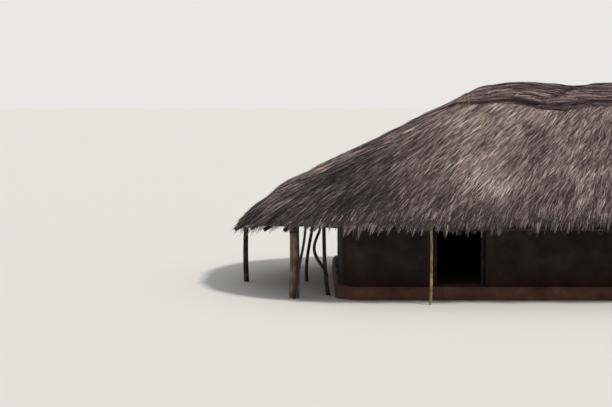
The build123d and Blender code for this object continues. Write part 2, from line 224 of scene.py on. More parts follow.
def bark_material(name, tint, stops, split_depth, grain):
    """Make a grown pole: weathered bark or bare wood split along its grain.

    grain holds how often the splits repeat in a metre along X, Y and Z.
    """
    material, tree, inputs, paint = new_material(name, tint)
    place = add_node(tree, "ShaderNodeTexCoord").outputs["Object"]
    along = add_node(tree, "ShaderNodeMapping", {"Vector": place, "Scale": grain})
    streak = add_node(tree, "ShaderNodeTexNoise", {
        "Vector": along, "Scale": 1.0, "Detail": 5.0, "Roughness": 0.65, "Distortion": 0.3})
    wood = add_node(tree, "ShaderNodeValToRGB", {"Fac": streak}, stops)
    # Knots and handled places about 200 mm apart
    knot = add_node(tree, "ShaderNodeTexNoise", {"Vector": place, "Scale": 5.0, "Detail": 2.0})
    shadow = add_node(tree, "ShaderNodeValToRGB", {"Fac": knot}, (
        (0.35, "9a8f86"), (0.6, "ffffff")))
    colour = add_node(tree, "ShaderNodeMix", {0: 0.8, 6: wood, 7: shadow},
                      data_type="RGBA", blend_type="MULTIPLY")
    relief = add_node(tree, "ShaderNodeBump", {
        "Height": streak, "Distance": split_depth, "Strength": 1.0})
    tree.links.new(colour.outputs[2], paint)
    tree.links.new(relief.outputs[0], inputs["Normal"])
    return material


def link_piece(name, mesh, material, slot):
    """Put a piece in the scene with its finish, riding on the hut."""
    piece = bpy.data.objects.new(name, mesh)
    mesh.materials.clear()
    mesh.materials.append(material)
    bpy.context.scene.collection.objects.link(piece)
    if slot:
        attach(piece, "root")
    return piece


def mesh_from(name, points, faces, smooth=True):
    """Make a mesh from arrays of points and faces."""
    mesh = bpy.data.meshes.new(name)
    mesh.from_pydata([tuple(point) for point in points], [], [tuple(face) for face in faces])
    mesh.update()
    if smooth:
        mesh.shade_smooth()
    return mesh


def tree_of(meshes):
    """Make a ray tree over some meshes."""
    points = []
    faces = []
    for mesh in meshes:
        start = len(points)
        points.extend(vertex.co.copy() for vertex in mesh.vertices)
        faces.extend([start + index for index in face.vertices] for face in mesh.polygons)
    return BVHTree.FromPolygons(points, faces)


def node_meshes(names):
    """Give the meshes of some nodes."""
    return [node_object(name).data for name in names]


# The grids that carry the thatch: columns round the eave, and rows down its outside and
# up its underside
EAVE_COLUMNS = 300
SLOPE_ROWS = 42
UNDER_ROWS = 14
# The eave is found along this many rays, between two distances, by halving the gap
EAVE_RAYS = 720
EAVE_BETWEEN = (2.0, 9.5)
EAVE_HALVINGS = 22
# Heights from which vertical rays find the thatch's outside and its underside
ABOVE_ROOF = 9
BELOW_THATCH = 0.5
# How steeply the long sides fall
ROOF_SLOPE = 0.62
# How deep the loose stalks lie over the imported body, and how far it stops short of the
# eave, where tufts reach on, with more worn away along the front and the back
LOOSE_DEPTH = 0.03
EAVE_SETBACK = 0.11
EAVE_WORN = 0.19
EAVE_UNEVEN = 0.05
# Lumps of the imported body: how high, how far across, and their place in the noise
BODY_LUMPS = ((0.028, 1.1, 3.0), (0.014, 0.33, 9.0))
# The rings stop just short of the ridge's middle line, so that no ring is a doubled line
RIDGE_STOP = 0.004


class RoofForm:
    """Read the thatch's form from the frame by vertical rays."""

    def __init__(self):
        self.tree = tree_of(node_meshes(THATCH_NODES))
        self.ridge_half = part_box("ridge_pole")[1][0]
        self.half_depth = -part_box("thatch_front_middle")[0][1]
        self.outline = self.trace_eave()

    def top(self, x, y):
        """Give the height of the thatch's outside, or None beyond the eave."""
        hit = self.tree.ray_cast(Vector((x, y, ABOVE_ROOF)), Vector((0, 0, -1)))[0]
        return hit.z if hit else None

    def under(self, x, y):
        """Give the height of the thatch's underside, or None beyond the eave."""
        hit = self.tree.ray_cast(Vector((x, y, BELOW_THATCH)), Vector((0, 0, 1)))[0]
        return hit.z if hit else None

    def ridge_under(self, eave_x):
        """Give the X on the ridge from which a line runs down to a place on the eave."""
        return max(-self.ridge_half, min(self.ridge_half, eave_x * 0.5))

    def reach(self, places):
        """Give how far the eave lies from the middle in the direction of each place."""
        angles = np.arctan2(places[:, 1], places[:, 0])
        edge = np.arctan2(self.outline[:, 1], self.outline[:, 0])
        order = np.argsort(edge)
        return np.interp(angles, edge[order], np.hypot(*self.outline[order].T),
                         period=math.tau)

    def trace_eave(self):
        """Find the eave's plan outline as evenly spaced points, counter-clockwise."""
        raw = []
        for step in range(EAVE_RAYS):
            angle = math.tau * step / EAVE_RAYS
            low, high = EAVE_BETWEEN
            for _ in range(EAVE_HALVINGS):
                middle = (low + high) / 2
                x, y = middle * math.cos(angle), middle * math.sin(angle)
                if self.top(x, y) is None:
                    high = middle
                else:
                    low = middle
            raw.append((low * math.cos(angle), low * math.sin(angle)))
        raw = np.array(raw + raw[:1])
        walked = np.concatenate([[0], np.cumsum(np.hypot(*np.diff(raw, axis=0).T))])
        self.perimeter = walked[-1]
        places = np.linspace(0, walked[-1], EAVE_COLUMNS, endpoint=False)
        return np.stack([np.interp(places, walked, raw[:, axis]) for axis in (0, 1)], axis=1)


def smoothstep(low, high, value):
    """Rise smoothly from 0 at low to 1 at high."""
    share = np.clip((value - low) / (high - low), 0, 1)
    return share * share * (3 - 2 * share)


def lumps(point, size, seed):
    """Give smooth noise between about -1 and 1 for a point, with lumps of this size."""
    return noise.noise(Vector((point[0] / size + seed, point[1] / size, point[2] / size)))


def set_vectors(mesh, name, values):
    """Store a vector for every vertex."""
    layer = mesh.attributes.new(name, "FLOAT_VECTOR", "POINT")
    layer.data.foreach_set("vector", np.asarray(values, dtype=np.float32).ravel())


def set_numbers(mesh, name, values):
    """Store a number for every vertex."""
    layer = mesh.attributes.new(name, "FLOAT", "POINT")
    layer.data.foreach_set("value", np.asarray(values, dtype=np.float32))


# The stalks lean towards the hut's end by this many degrees in the middle, and by so many
# more for each metre towards the end, between these distances
LEAN_MIDDLE = 24
LEAN_PER_METRE = 2.4
LEAN_FROM, LEAN_TO = -1.5, 7
# They lean by this share of it at the ridge, and by so much less at the eave
LEAN_AT_RIDGE = 1.22
LEAN_LOST = 0.62
# Between these directions round a rounded end the stalks turn to run straight down it
AROUND_FROM, AROUND_TO = math.radians(15), math.radians(58)
# Between these places along X the stalks turn over from leaning left to leaning right
TURN_FROM, TURN_TO = 0.7, 3.6


def lean_from_slope(left, depth, form):
    """Give the angle between the laid stalks and the straight way down the long side.

    left is the distance from the middle towards the nearer end. The stalks lean more
    towards the ends and higher up, and turn to run straight down the rounded ends.
    """
    down = np.clip(depth / form.half_depth, 0, 1)
    front = LEAN_MIDDLE + LEAN_PER_METRE * np.clip(left, LEAN_FROM, LEAN_TO)
    front = np.radians(front * (LEAN_AT_RIDGE - LEAN_LOST * down))
    around = np.arctan2(np.maximum(left - form.ridge_half, 0), depth + 0.02)
    share = smoothstep(AROUND_FROM, AROUND_TO, around)
    return front * (1 - share) + around * share


def stalk_directions(points, form):
    """Give the level direction in which the stalks run at each point of the roof."""
    x, y = points[:, 0], points[:, 1]
    depth = np.abs(y)
    facing = np.where(y < 0, -1.0, 1.0)
    turn = smoothstep(TURN_FROM, TURN_TO, x)
    lean_left = lean_from_slope(-x, depth, form)
    lean_right = lean_from_slope(x, depth, form)
    along = -np.sin(lean_left) * (1 - turn) + np.sin(lean_right) * turn
    across = facing * (np.cos(lean_left) * (1 - turn) + np.cos(lean_right) * turn)
    return np.stack([along, across, np.zeros(len(x))], axis=1)


# Length of one step down the roof, and more steps than the longest way down takes
RUN_STEP = 0.08
RUN_STEPS = 130


def follow_stalks(points, form):
    """Follow the stalks from each point down to the eave.

    The first two numbers of each result say where they land in plan, and the third how far
    they run. They tell stalks that lie side by side apart from those that lie in line.
    """
    places = points[:, :2].copy()
    run = np.zeros(len(points))
    for _ in range(RUN_STEPS):
        inside = np.hypot(*places.T) < form.reach(places)
        if not inside.any():
            break
        heading = stalk_directions(places[inside], form)[:, :2]
        places[inside] += RUN_STEP * heading / np.linalg.norm(heading, axis=1, keepdims=True)
        run[inside] += RUN_STEP * math.hypot(1, ROOF_SLOPE)
    places *= (form.reach(places) / np.hypot(*places.T))[:, None]
    return np.column_stack([places, run])


def eave_worn(x):
    """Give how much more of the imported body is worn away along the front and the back."""
    return EAVE_WORN * (1 - smoothstep(3.4, 5.4, np.abs(x)))


def roof_skin(form):
    """Make the outer skin of the thatch as rings of points from the ridge to the eave."""
    rings = []
    for row in range(SLOPE_ROWS + 1):
        share = row / SLOPE_ROWS
        # The lumps fade out towards the ridge and the eave
        body = min(1.0, 6 * share) * (1 - 0.7 * smoothstep(0.93, 1.0, share))
        ring = []
        for column, (eave_x, eave_y) in enumerate(form.outline):
            uneven = EAVE_UNEVEN * noise.noise(Vector((column * 0.35, 4.0, 0)))
            short = EAVE_SETBACK + eave_worn(eave_x) + uneven
            reach = 1 - short / math.hypot(eave_x, eave_y)
            ridge_x = form.ridge_under(eave_x)
            x = ridge_x + (eave_x * reach - ridge_x) * share
            y = eave_y * reach * max(share, RIDGE_STOP)
            z = form.top(x, y) - LOOSE_DEPTH
            for height, size, seed in BODY_LUMPS:
                z += height * body * lumps((x, y, z), size, seed)
            ring.append((x, y, z))
        rings.append(ring)
    return np.array(rings)


def ring_faces(rows, columns, start=0):
    """Join rings of points into faces, each ring closing on itself."""
    faces = []
    for row in range(rows):
        first = start + row * columns
        for column in range(columns):
            here, after = first + column, first + (column + 1) % columns
            faces.append((here, here + columns, after + columns, after))
    return faces


def close_ends(mesh):
    """Fill the holes that are left at the ends of a mesh, and turn its faces outwards."""
    work = bmesh.new()
    work.from_mesh(mesh)
    bmesh.ops.holes_fill(work, edges=[edge for edge in work.edges if edge.is_boundary])
    bmesh.ops.recalc_face_normals(work, faces=work.faces)
    work.to_mesh(mesh)
    work.free()
    mesh.shade_smooth()


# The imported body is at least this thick, and its edge at the eave this much
BODY_LEAST = 0.06
EDGE_LEAST = 0.03


class HUT_OT_thatch_coat(bpy.types.Operator):
    """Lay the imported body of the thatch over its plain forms"""

    bl_idname = "hut.thatch_coat"
    bl_label = "Thatch Coat"

    def execute(self, context):
        form = shared["form"]
        top = roof_skin(form)
        columns = top.shape[1]
        under = []
        for row in range(UNDER_ROWS + 1):
            share = 1 - row / UNDER_ROWS
            ring = []
            for edge, (eave_x, _) in zip(top[-1], form.outline):
                ridge_x = form.ridge_under(eave_x)
                x = ridge_x + (edge[0] - ridge_x) * share
                y = edge[1] * max(share, RIDGE_STOP)
                z = form.under(x, y) or edge[2] - BODY_LEAST
                most = edge[2] - EDGE_LEAST if row == 0 else form.top(x, y) - BODY_LEAST
                ring.append((x, y, min(z, most)))
            under.append(ring)
        points = np.concatenate([top.reshape(-1, 3), np.array(under).reshape(-1, 3)])
        first_under = top.shape[0] * columns
        last = first_under - columns
        faces = ring_faces(SLOPE_ROWS, columns)
        faces += ring_faces(UNDER_ROWS, columns, start=first_under)
        for column in range(columns):
            after = (column + 1) % columns
            faces.append((last + column, first_under + column, first_under + after, last + after))
        mesh = mesh_from("thatch_coat", points, faces)
        set_vectors(mesh, "landing", follow_stalks(points, form))
        close_ends(mesh)
        coat = link_piece("thatch_coat", mesh, shared["coat"], "thatch")
        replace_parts(coat, *THATCH_NODES)
        shared["skin"] = top
        shared["cover"] = [mesh]
        return {"FINISHED"}


# A stalk narrows by this share, and its arch ends this many of its lengths from its foot
STALK_TAPER = 0.82
STALK_ARCH = 1.15
SHORTEST_STALK = 0.07
# The first of the seeds from which each stalk's turn, size and shade are drawn
FIRST_CHANCE = 11
# Stalks that lie together weather together: clumps 50 mm wide and 400 mm long
CLUMP_SCALE = (21.0, 21.0, 2.6)
CLUMP_SHARE = 0.55


def grass_tree():
    """Build the tree that lays tapered stalks over a skin along its stored direction."""
    tree = bpy.data.node_groups.new("laid_grass", "GeometryNodeTree")
    face = tree.interface
    face.new_socket("Skin", in_out="INPUT", socket_type="NodeSocketGeometry")
    for name, value in (("Density", 300.0), ("Length", 0.6), ("Width", 0.016),
                        ("Lift", 0.02), ("Spread", 0.14)):
        socket = face.new_socket(name, in_out="INPUT", socket_type="NodeSocketFloat")
        socket.default_value = value
    seed = face.new_socket("Seed", in_out="INPUT", socket_type="NodeSocketInt")
    seed.default_value = 1
    face.new_socket("Grass", in_out="INPUT", socket_type="NodeSocketMaterial")
    face.new_socket("Geometry", in_out="OUTPUT", socket_type="NodeSocketGeometry")
    given = add_node(tree, "NodeGroupInput").outputs
    stored = {name: add_node(tree, "GeometryNodeInputNamedAttribute", {"Name": name},
                             data_type=kind)
              for name, kind in (("stalk", "FLOAT_VECTOR"), ("landing", "FLOAT_VECTOR"),
                                 ("room", "FLOAT"), ("damp", "FLOAT"))}
    other_way = add_node(tree, "ShaderNodeMath", {0: given["Spread"], 1: -1.0},
                         operation="MULTIPLY")
    # Every stalk has a turn, a size and a shade of its own, each between two numbers
    chance = {}
    for number, (name, low, high) in enumerate((
            ("yaw", other_way, given["Spread"]), ("pitch", -0.07, 0.025),
            ("roll", -0.7, 0.7), ("length", 0.6, 1.25), ("room", -0.05, 0.09),
            ("width", 0.5, 1.5), ("tone", -0.28, 0.62)), FIRST_CHANCE):
        own_seed = add_node(tree, "ShaderNodeMath", {0: given["Seed"], 1: float(number)},
                            operation="ADD")
        chance[name] = add_node(tree, "FunctionNodeRandomValue", {
            2: low, 3: high, "Seed": own_seed}, data_type="FLOAT").outputs[1]

    # One stalk: a strip of three faces that tapers to its tip and bends down again
    strip = add_node(tree, "GeometryNodeMeshGrid", {
        "Size X": 1.0, "Size Y": 1.0, "Vertices X": 4, "Vertices Y": 2})
    place = add_node(tree, "GeometryNodeInputPosition")
    parts = add_node(tree, "ShaderNodeSeparateXYZ", {"Vector": place}).outputs
    along = add_node(tree, "ShaderNodeMath", {0: parts["X"], 1: 0.5}, operation="ADD")
    squared = add_node(tree, "ShaderNodeMath", {0: along, 1: along}, operation="MULTIPLY")
    lost = add_node(tree, "ShaderNodeMath", {0: squared, 1: STALK_TAPER}, operation="MULTIPLY")
    taper = add_node(tree, "ShaderNodeMath", {0: 1.0, 1: lost}, operation="SUBTRACT")
    half = add_node(tree, "ShaderNodeMath", {0: parts["Y"], 1: taper}, operation="MULTIPLY")
    rest = add_node(tree, "ShaderNodeMath", {0: STALK_ARCH, 1: along}, operation="SUBTRACT")
    arch = add_node(tree, "ShaderNodeMath", {0: along, 1: rest}, operation="MULTIPLY")
    shaped = add_node(tree, "ShaderNodeCombineXYZ", {"X": along, "Y": half, "Z": arch})
    stalk = add_node(tree, "GeometryNodeSetPosition", {"Geometry": strip, "Position": shaped})

    # Where each stalk lies, and how it is turned
    sown = add_node(tree, "GeometryNodeDistributePointsOnFaces", {
        "Mesh": given["Skin"], "Density": given["Density"], "Seed": given["Seed"]})
    facing = add_node(tree, "FunctionNodeAxesToRotation", {
        "Primary Axis": sown.outputs["Normal"], "Secondary Axis": stored["stalk"]},
        primary_axis="Z", secondary_axis="X")
    angles = add_node(tree, "ShaderNodeCombineXYZ", {
        "X": chance["roll"], "Y": chance["pitch"], "Z": chance["yaw"]})
    turn = add_node(tree, "FunctionNodeEulerToRotation", {"Euler": angles})
    turned = add_node(tree, "FunctionNodeRotateRotation", {
        "Rotation": facing, "Rotate By": turn}, rotation_space="LOCAL")

    # Its size: no stalk is longer than the way down to the eave that is left for it
    length = add_node(tree, "ShaderNodeMath", {0: given["Length"], 1: chance["length"]},
                      operation="MULTIPLY")
    room = add_node(tree, "ShaderNodeMath", {0: stored["room"], 1: chance["room"]},
                    operation="ADD")
    length = add_node(tree, "ShaderNodeMath", {0: length, 1: room}, operation="MINIMUM")
    length = add_node(tree, "ShaderNodeMath", {0: length, 1: SHORTEST_STALK},
                      operation="MAXIMUM")
    width = add_node(tree, "ShaderNodeMath", {0: given["Width"], 1: chance["width"]},
                     operation="MULTIPLY")
    lift = add_node(tree, "ShaderNodeMath", {0: given["Lift"], 1: 4.0}, operation="MULTIPLY")
    size = add_node(tree, "ShaderNodeCombineXYZ", {"X": length, "Y": width, "Z": lift})
    laid = add_node(tree, "GeometryNodeInstanceOnPoints", {
        "Points": sown, "Instance": stalk, "Rotation": turned, "Scale": size})

    # Its shade: partly its clump's, partly its own, and darker by the stored rain-dark patches
    # and painted shade
    scaled = add_node(tree, "ShaderNodeVectorMath", {0: stored["landing"], 1: CLUMP_SCALE},
                      operation="MULTIPLY")
    clump = add_node(tree, "ShaderNodeTexNoise", {
        "Vector": scaled, "Scale": 1.0, "Detail": 2.0})
    clump = add_node(tree, "ShaderNodeMapRange", {
        "Value": clump, "From Min": 0.32, "From Max": 0.68})
    tone = add_node(tree, "ShaderNodeMath", {0: clump, 1: CLUMP_SHARE}, operation="MULTIPLY")
    tone = add_node(tree, "ShaderNodeMath", {0: tone, 1: chance["tone"]}, operation="ADD")
    tone = add_node(tree, "ShaderNodeMath", {0: tone, 1: stored["damp"]}, operation="SUBTRACT")
    shaded = add_node(tree, "GeometryNodeStoreNamedAttribute", {
        "Geometry": laid, "Name": "shade", "Value": tone},
        data_type="FLOAT", domain="INSTANCE")
    real = add_node(tree, "GeometryNodeRealizeInstances", {"Geometry": shaded})
    dressed = add_node(tree, "GeometryNodeSetMaterial", {
        "Geometry": real, "Material": given["Grass"]})
    add_node(tree, "NodeGroupOutput", {"Geometry": dressed})
    return tree


def lay_grass(name, mesh, values):
    """Lay stalks over a skin and keep them as a plain mesh that rides on the hut."""
    tree = shared["grass_tree"]
    sower = bpy.data.objects.new(name, mesh)
    bpy.context.scene.collection.objects.link(sower)
    modifier = sower.modifiers.new("grass", "NODES")
    modifier.node_group = tree
    for item in tree.interface.items_tree:
        if item.in_out == "INPUT" and item.name in values:
            modifier[item.identifier] = values[item.name]
    grown = sower.evaluated_get(bpy.context.evaluated_depsgraph_get())
    plain = bpy.data.meshes.new_from_object(grown)
    sower.modifiers.remove(modifier)
    sower.data = plain
    bpy.data.meshes.remove(mesh)
    plain.name = name
    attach(sower, "root")


FIELDS = ("front_left", "front_middle", "front_right", "right_end",
          "back_right", "back_middle", "back_left", "left_end")
# Seen from above, an end's field reaches this far to either side of the ridge's line
END_SPREAD = math.radians(40)


def field_of(x, y, ridge_half):
    """Name the field of the roof over a point of the plan."""
    out = abs(x) - ridge_half
    end = "left" if x < 0 else "right"
    if out > 0 and abs(y) < out * math.tan(END_SPREAD):
        return end + "_end"
    face = "front" if y < 0 else "back"
    return f"{face}_middle" if out <= 0 else f"{face}_{end}"


# How much darker the grass is near the eave, the painted shade over the ends and in the dips
# between tufts, and how dark rain leaves it in patches
DARKER_AT_EAVE = 0.25
PAINTED_SHADE_ENDS = 0.3
PAINTED_SHADE_DIPS = 0.85
DAMP_PATCHES = 0.16


def damp_and_painted_light_share(points, room, tufts):
    """Give how dark the grass is: darker near the eave, painted shade over the ends and in dips,
    rain-dark patches, and painted rim light at the far tips.
    """
    along = np.abs(points[:, 0])
    # Painted rim light: near the far tips the darkening fades out, so they stay lighter
    rim_lit_tip = smoothstep(5.6, 6.6, along)
    low = DARKER_AT_EAVE * (1 - smoothstep(0.2, 2.2, room)) * (1 - 0.7 * rim_lit_tip)
    # Painted shade over the ends, which turn away from the sun
    ends = PAINTED_SHADE_ENDS * smoothstep(1.8, 4.6, along) * (1 - rim_lit_tip)
    ends *= smoothstep(0.5, 1.8, np.abs(points[:, 1]))
    # Painted shade in the dips between tufts near the eave
    shaded_dips = PAINTED_SHADE_DIPS * smoothstep(0.0, 0.35, -tufts) * (1 - smoothstep(0.25, 1.0, room))
    patches = np.array([DAMP_PATCHES * lumps(point, 1.3, 12) for point in points])
    return low + ends + shaded_dips + patches


# How far the gaps between the tufts at the eave reach up the slope, and how wide a tuft is
TUFT_DEPTH = 0.14
TUFT_WIDTH = 0.21
GRASS_LIFT = 0.012
GRASS_SPREAD = 0.2
FIRST_FIELD_SEED = 20


class HUT_OT_grass(bpy.types.Operator):
    """Lay loose stalks over every field of the roof"""

    bl_idname = "hut.grass"
    bl_label = "Laid Grass"

    def execute(self, context):
        form, skin, sizes = shared["form"], shared["skin"], context.scene.hut_thatch
        points = skin.reshape(-1, 3)
        stalks = stalk_directions(points, form)
        landing = follow_stalks(points, form)
        by_field = {name: [] for name in FIELDS}
        for face in ring_faces(SLOPE_ROWS, skin.shape[1]):
            middle = points[list(face)].mean(axis=0)
            by_field[field_of(middle[0], middle[1], form.ridge_half)].append(face)
        for number, name in enumerate(FIELDS):
            chosen = np.array(by_field[name])
            used, places = np.unique(chosen, return_inverse=True)
            mesh = mesh_from("field", points[used], places.reshape(chosen.shape))
            room = landing[used, 2]
            tufts = np.array([lumps((x, y, 0), TUFT_WIDTH, 8) for x, y in landing[used, :2]])
            gaps = smoothstep(-0.1, 0.3, -tufts) * (TUFT_DEPTH + eave_worn(landing[used, 0]))
            set_vectors(mesh, "stalk", stalks[used])
            set_vectors(mesh, "landing", landing[used])
            set_numbers(mesh, "room", room - gaps)
            # Darker near the eave, painted shade, painted rim light and rain-dark patches
            set_numbers(mesh, "damp", damp_and_painted_light_share(points[used], room, tufts))
            lay_grass(f"grass_{name}", mesh, {
                "Density": sizes.density, "Length": sizes.stalk_length,
                "Width": sizes.stalk_width, "Lift": GRASS_LIFT, "Spread": GRASS_SPREAD,
                "Seed": FIRST_FIELD_SEED + number, "Grass": shared["grass"]})
        return {"FINISHED"}


# A ribbon narrows by this share towards its tip
RIBBON_TAPER = 0.85


def ribbons(name, paths, widths, shades, facing):
    """Make flat tapered strips along paths of points, one shade for each strip."""
    count, steps = paths.shape[0], paths.shape[1]
    tangent = paths[:, -1] - paths[:, 0]
    sideways = np.cross(tangent, facing)
    sideways /= np.maximum(np.linalg.norm(sideways, axis=1, keepdims=True), 1e-6)
    share = np.linspace(0, 1, steps)[None, :, None]
    half = 0.5 * widths[:, None, None] * (1 - RIBBON_TAPER * share ** 2) * sideways[:, None, :]
    points = np.stack([paths - half, paths + half], axis=2).reshape(-1, 3)
    start = (np.arange(count) * steps * 2)[:, None] + (np.arange(steps - 1) * 2)[None, :]
    start = start.ravel()
    faces = np.stack([start, start + 1, start + 3, start + 2], axis=1)
    mesh = mesh_from(name, points, faces)
    set_numbers(mesh, "shade", np.repeat(shades, steps * 2))
    return mesh


# Tufts along the eave: spacing, stalks in each, and the share of them that hang loose
TUFT_SPACING = 0.155
TUFT_STALKS = 42
LOOSE_SHARE = 0.45
# How much longer one tuft in seven is, and how much of a tuft's run turns down
LONG_TUFT = 0.08
LONG_FROM = 0.85
TUFT_DROOPS = (0.05, 0.45)
# How much shorter loose stalks are, and how far loose and other ones are drawn together
LOOSE_REACH = 0.75
DRAWN_LOOSE, DRAWN_TUFT = 0.1, 0.85


class HUT_OT_fringe(bpy.types.Operator):
    """Hang pointed tufts of grass along the eave"""

    bl_idname = "hut.fringe"
    bl_label = "Eave Fringe"

    def execute(self, context):
        form, edge, sizes = shared["form"], shared["skin"][-1], context.scene.hut_thatch
        rng = np.random.default_rng(41)
        closed = np.concatenate([edge, edge[:1]])
        columns = np.arange(EAVE_COLUMNS + 1)

        def along_edge(at):
            return np.stack([np.interp(at % EAVE_COLUMNS, columns, closed[:, axis])
                             for axis in range(3)], axis=1)

        # Tufts of uneven length hang side by side, each drawn together towards its tip
        count = int(form.perimeter / TUFT_SPACING)
        position = (np.arange(count) + rng.uniform(-0.4, 0.4, count)) * EAVE_COLUMNS / count
        length = rng.uniform(sizes.tuft_shortest, sizes.tuft_longest, count)
        length += LONG_TUFT * (rng.random(count) > LONG_FROM)
        droop = rng.uniform(*TUFT_DROOPS, count)[:, None]
        start = along_edge(position)
        run = stalk_directions(start, form)
        run /= np.linalg.norm(run, axis=1, keepdims=True)
        run[:, 2] = -ROOF_SLOPE
        run /= np.linalg.norm(run, axis=1, keepdims=True)
        fall = run * (1 - droop) + np.array([0, 0, -1.0]) * droop
        fall /= np.linalg.norm(fall, axis=1, keepdims=True)

        # Each stalk comes out of the thatch, leaves the eave and hangs to its tip
        owner = np.repeat(np.arange(count), TUFT_STALKS)
        total = len(owner)
        loose = rng.random(total) < LOOSE_SHARE
        spread_out = rng.normal(0, 0.5, total) * TUFT_SPACING / form.perimeter * EAVE_COLUMNS
        base = along_edge(position[owner] + np.where(loose, 1.6, 0.6) * spread_out)
        base[:, 2] += rng.uniform(-0.05, 0.03, total)
        root = base - run[owner] * rng.uniform(0.1, 0.45, total)[:, None]
        root[:, 2] += rng.uniform(-0.02, 0.02, total)
        reach = (length[owner] * rng.uniform(0.55, 1.1, total))[:, None]
        reach[loose] *= LOOSE_REACH
        drawn = np.where(loose, DRAWN_LOOSE, DRAWN_TUFT)[:, None]
        gathered = start[owner] * drawn + base * (1 - drawn)
        tip = gathered + fall[owner] * reach + rng.normal(0, 0.008, (total, 3))
        knee = base * 0.6 + gathered * 0.4 + (run[owner] * 0.7 + fall[owner] * 0.3) * reach * 0.45
        paths = np.stack([root, base, knee, tip], axis=1)
        upward = np.cross(run, np.cross(np.array([0, 0, 1.0]), run))
        facing = upward[owner] + rng.normal(0, 0.35, (total, 3))
        widths = rng.uniform(0.007, 0.018, total)
        tuft_tone = rng.uniform(-0.15, 0.15, count)
        shades = np.clip(rng.normal(0.38, 0.25, total) + tuft_tone[owner], 0, 1)
        mesh = ribbons("eave_fringe", paths, widths, shades, facing)
        link_piece("eave_fringe", mesh, shared["grass"], "thatch")
        return {"FINISHED"}


# The crest: place along X, thickness over the ridge, reach down each slope and thickness of
# its edge. Beyond the ridge's ends it bends down over the hips and thins out.
CREST_SHAPE = np.array((
    (-3.45, 0.004, 0.1, 0.005), (-3.1, 0.008, 0.27, 0.012), (-2.7, 0.01, 0.46, 0.02),
    (-2.35, 0.012, 0.6, 0.035), (-2.05, 0.03, 0.63, 0.06), (-1.75, 0.07, 0.57, 0.07),
    (-1.4, 0.115, 0.58, 0.075), (-1.08, 0.132, 0.64, 0.08), (-0.8, 0.12, 0.76, 0.08),
    (-0.3, 0.085, 0.8, 0.08), (0.0, 0.04, 0.72, 0.06), (0.36, 0.06, 0.64, 0.05),
    (0.96, 0.085, 0.68, 0.05), (1.4, 0.09, 0.66, 0.05), (1.75, 0.045, 0.6, 0.04),
    (2.05, 0.005, 0.6, 0.03), (2.35, 0.004, 0.56, 0.02), (2.7, 0.004, 0.42, 0.01),
    (3.1, 0.003, 0.25, 0.005), (3.45, 0.002, 0.1, 0.003)))
CREST_HALF = CREST_SHAPE[-1, 0]
# The right bundle lies over the left one from a slanting line across each slope
FOLD_AT_EDGE = -0.85
FOLD_SLANT = 1.5
FOLD_DEPTH = 0.045
CREST_COLUMNS = 120
CREST_ROWS = 36
# How deep the furrows between its bundles and between the cords of its grass are
CREST_RELIEF = 0.022
# How thick the crest's body is at its edges and elsewhere
CREST_EDGE = 0.09
CREST_BODY = 0.15
# The two bundles part here, and the ridge is rounded over this half width
CREST_PARTING = 1.1
RIDGE_ROUNDING = 0.12
# Strands, the steps of each, and how long, how wide and how high they lie
CREST_STRANDS = 8000
STRAND_STEPS = 7
STRAND_LENGTHS = (0.45, 1.1)
STRAND_WIDTHS = (0.008, 0.02)
STRAND_LIFTS = (0.0, 0.026)


def past_fold(x, share):
    """Give how far a place on the crest lies past the line where the bundles overlap."""
    return x - FOLD_AT_EDGE - FOLD_SLANT * (1 - abs(share))


def crest_skin(form):
    """Make the crest's outside as columns of points along the ridge."""
    skin = []
    for x in np.linspace(-CREST_HALF, CREST_HALF, CREST_COLUMNS + 1):
        middle, reach, edge = (np.interp(x, CREST_SHAPE[:, 0], CREST_SHAPE[:, part])
                               for part in (1, 2, 3))
        reach *= 1 + 0.05 * lumps((x, 0, 0), 0.35, 21)
        sharp = 1 - smoothstep(form.ridge_half - 0.2, form.ridge_half + 0.5, abs(x))
        ring = []
        for share in np.linspace(-1, 1, CREST_ROWS + 1):
            y = share * reach
            crown = ROOF_SLOPE * (abs(y) - math.hypot(y, RIDGE_ROUNDING) + RIDGE_ROUNDING)
            depth = (middle + crown * sharp) * (1 - share ** 2) + edge * share ** 2
            swell = lumps((x * 1.1, y * 9, 1), 1, 5)
            cord = lumps((x * 0.6, y * 26 + 0.9 * math.sin(x * 2.3), 7), 1, 0)
            depth += FOLD_DEPTH * smoothstep(-0.04, 0.04, past_fold(x, share))
            fullness = min(1, depth / 0.1)
            depth += fullness * CREST_RELIEF * (swell + cord * min(1, 6 - 6 * abs(share)))
            ring.append((x, y, form.top(x, y) - LOOSE_DEPTH + max(depth, 0.004)))
        skin.append(ring)
    return np.array(skin)


def on_sheet(sheet, columns, rows):
    """Give the points of a grid at places between its columns and rows."""
    columns = np.clip(columns, 0, sheet.shape[0] - 1.001)
    rows = np.clip(rows, 0, sheet.shape[1] - 1.001)
    left, low = columns.astype(int), rows.astype(int)
    over, up = (columns - left)[..., None], (rows - low)[..., None]
    near = sheet[left, low] * (1 - up) + sheet[left, low + 1] * up
    far = sheet[left + 1, low] * (1 - up) + sheet[left + 1, low + 1] * up
    return near * (1 - over) + far * over


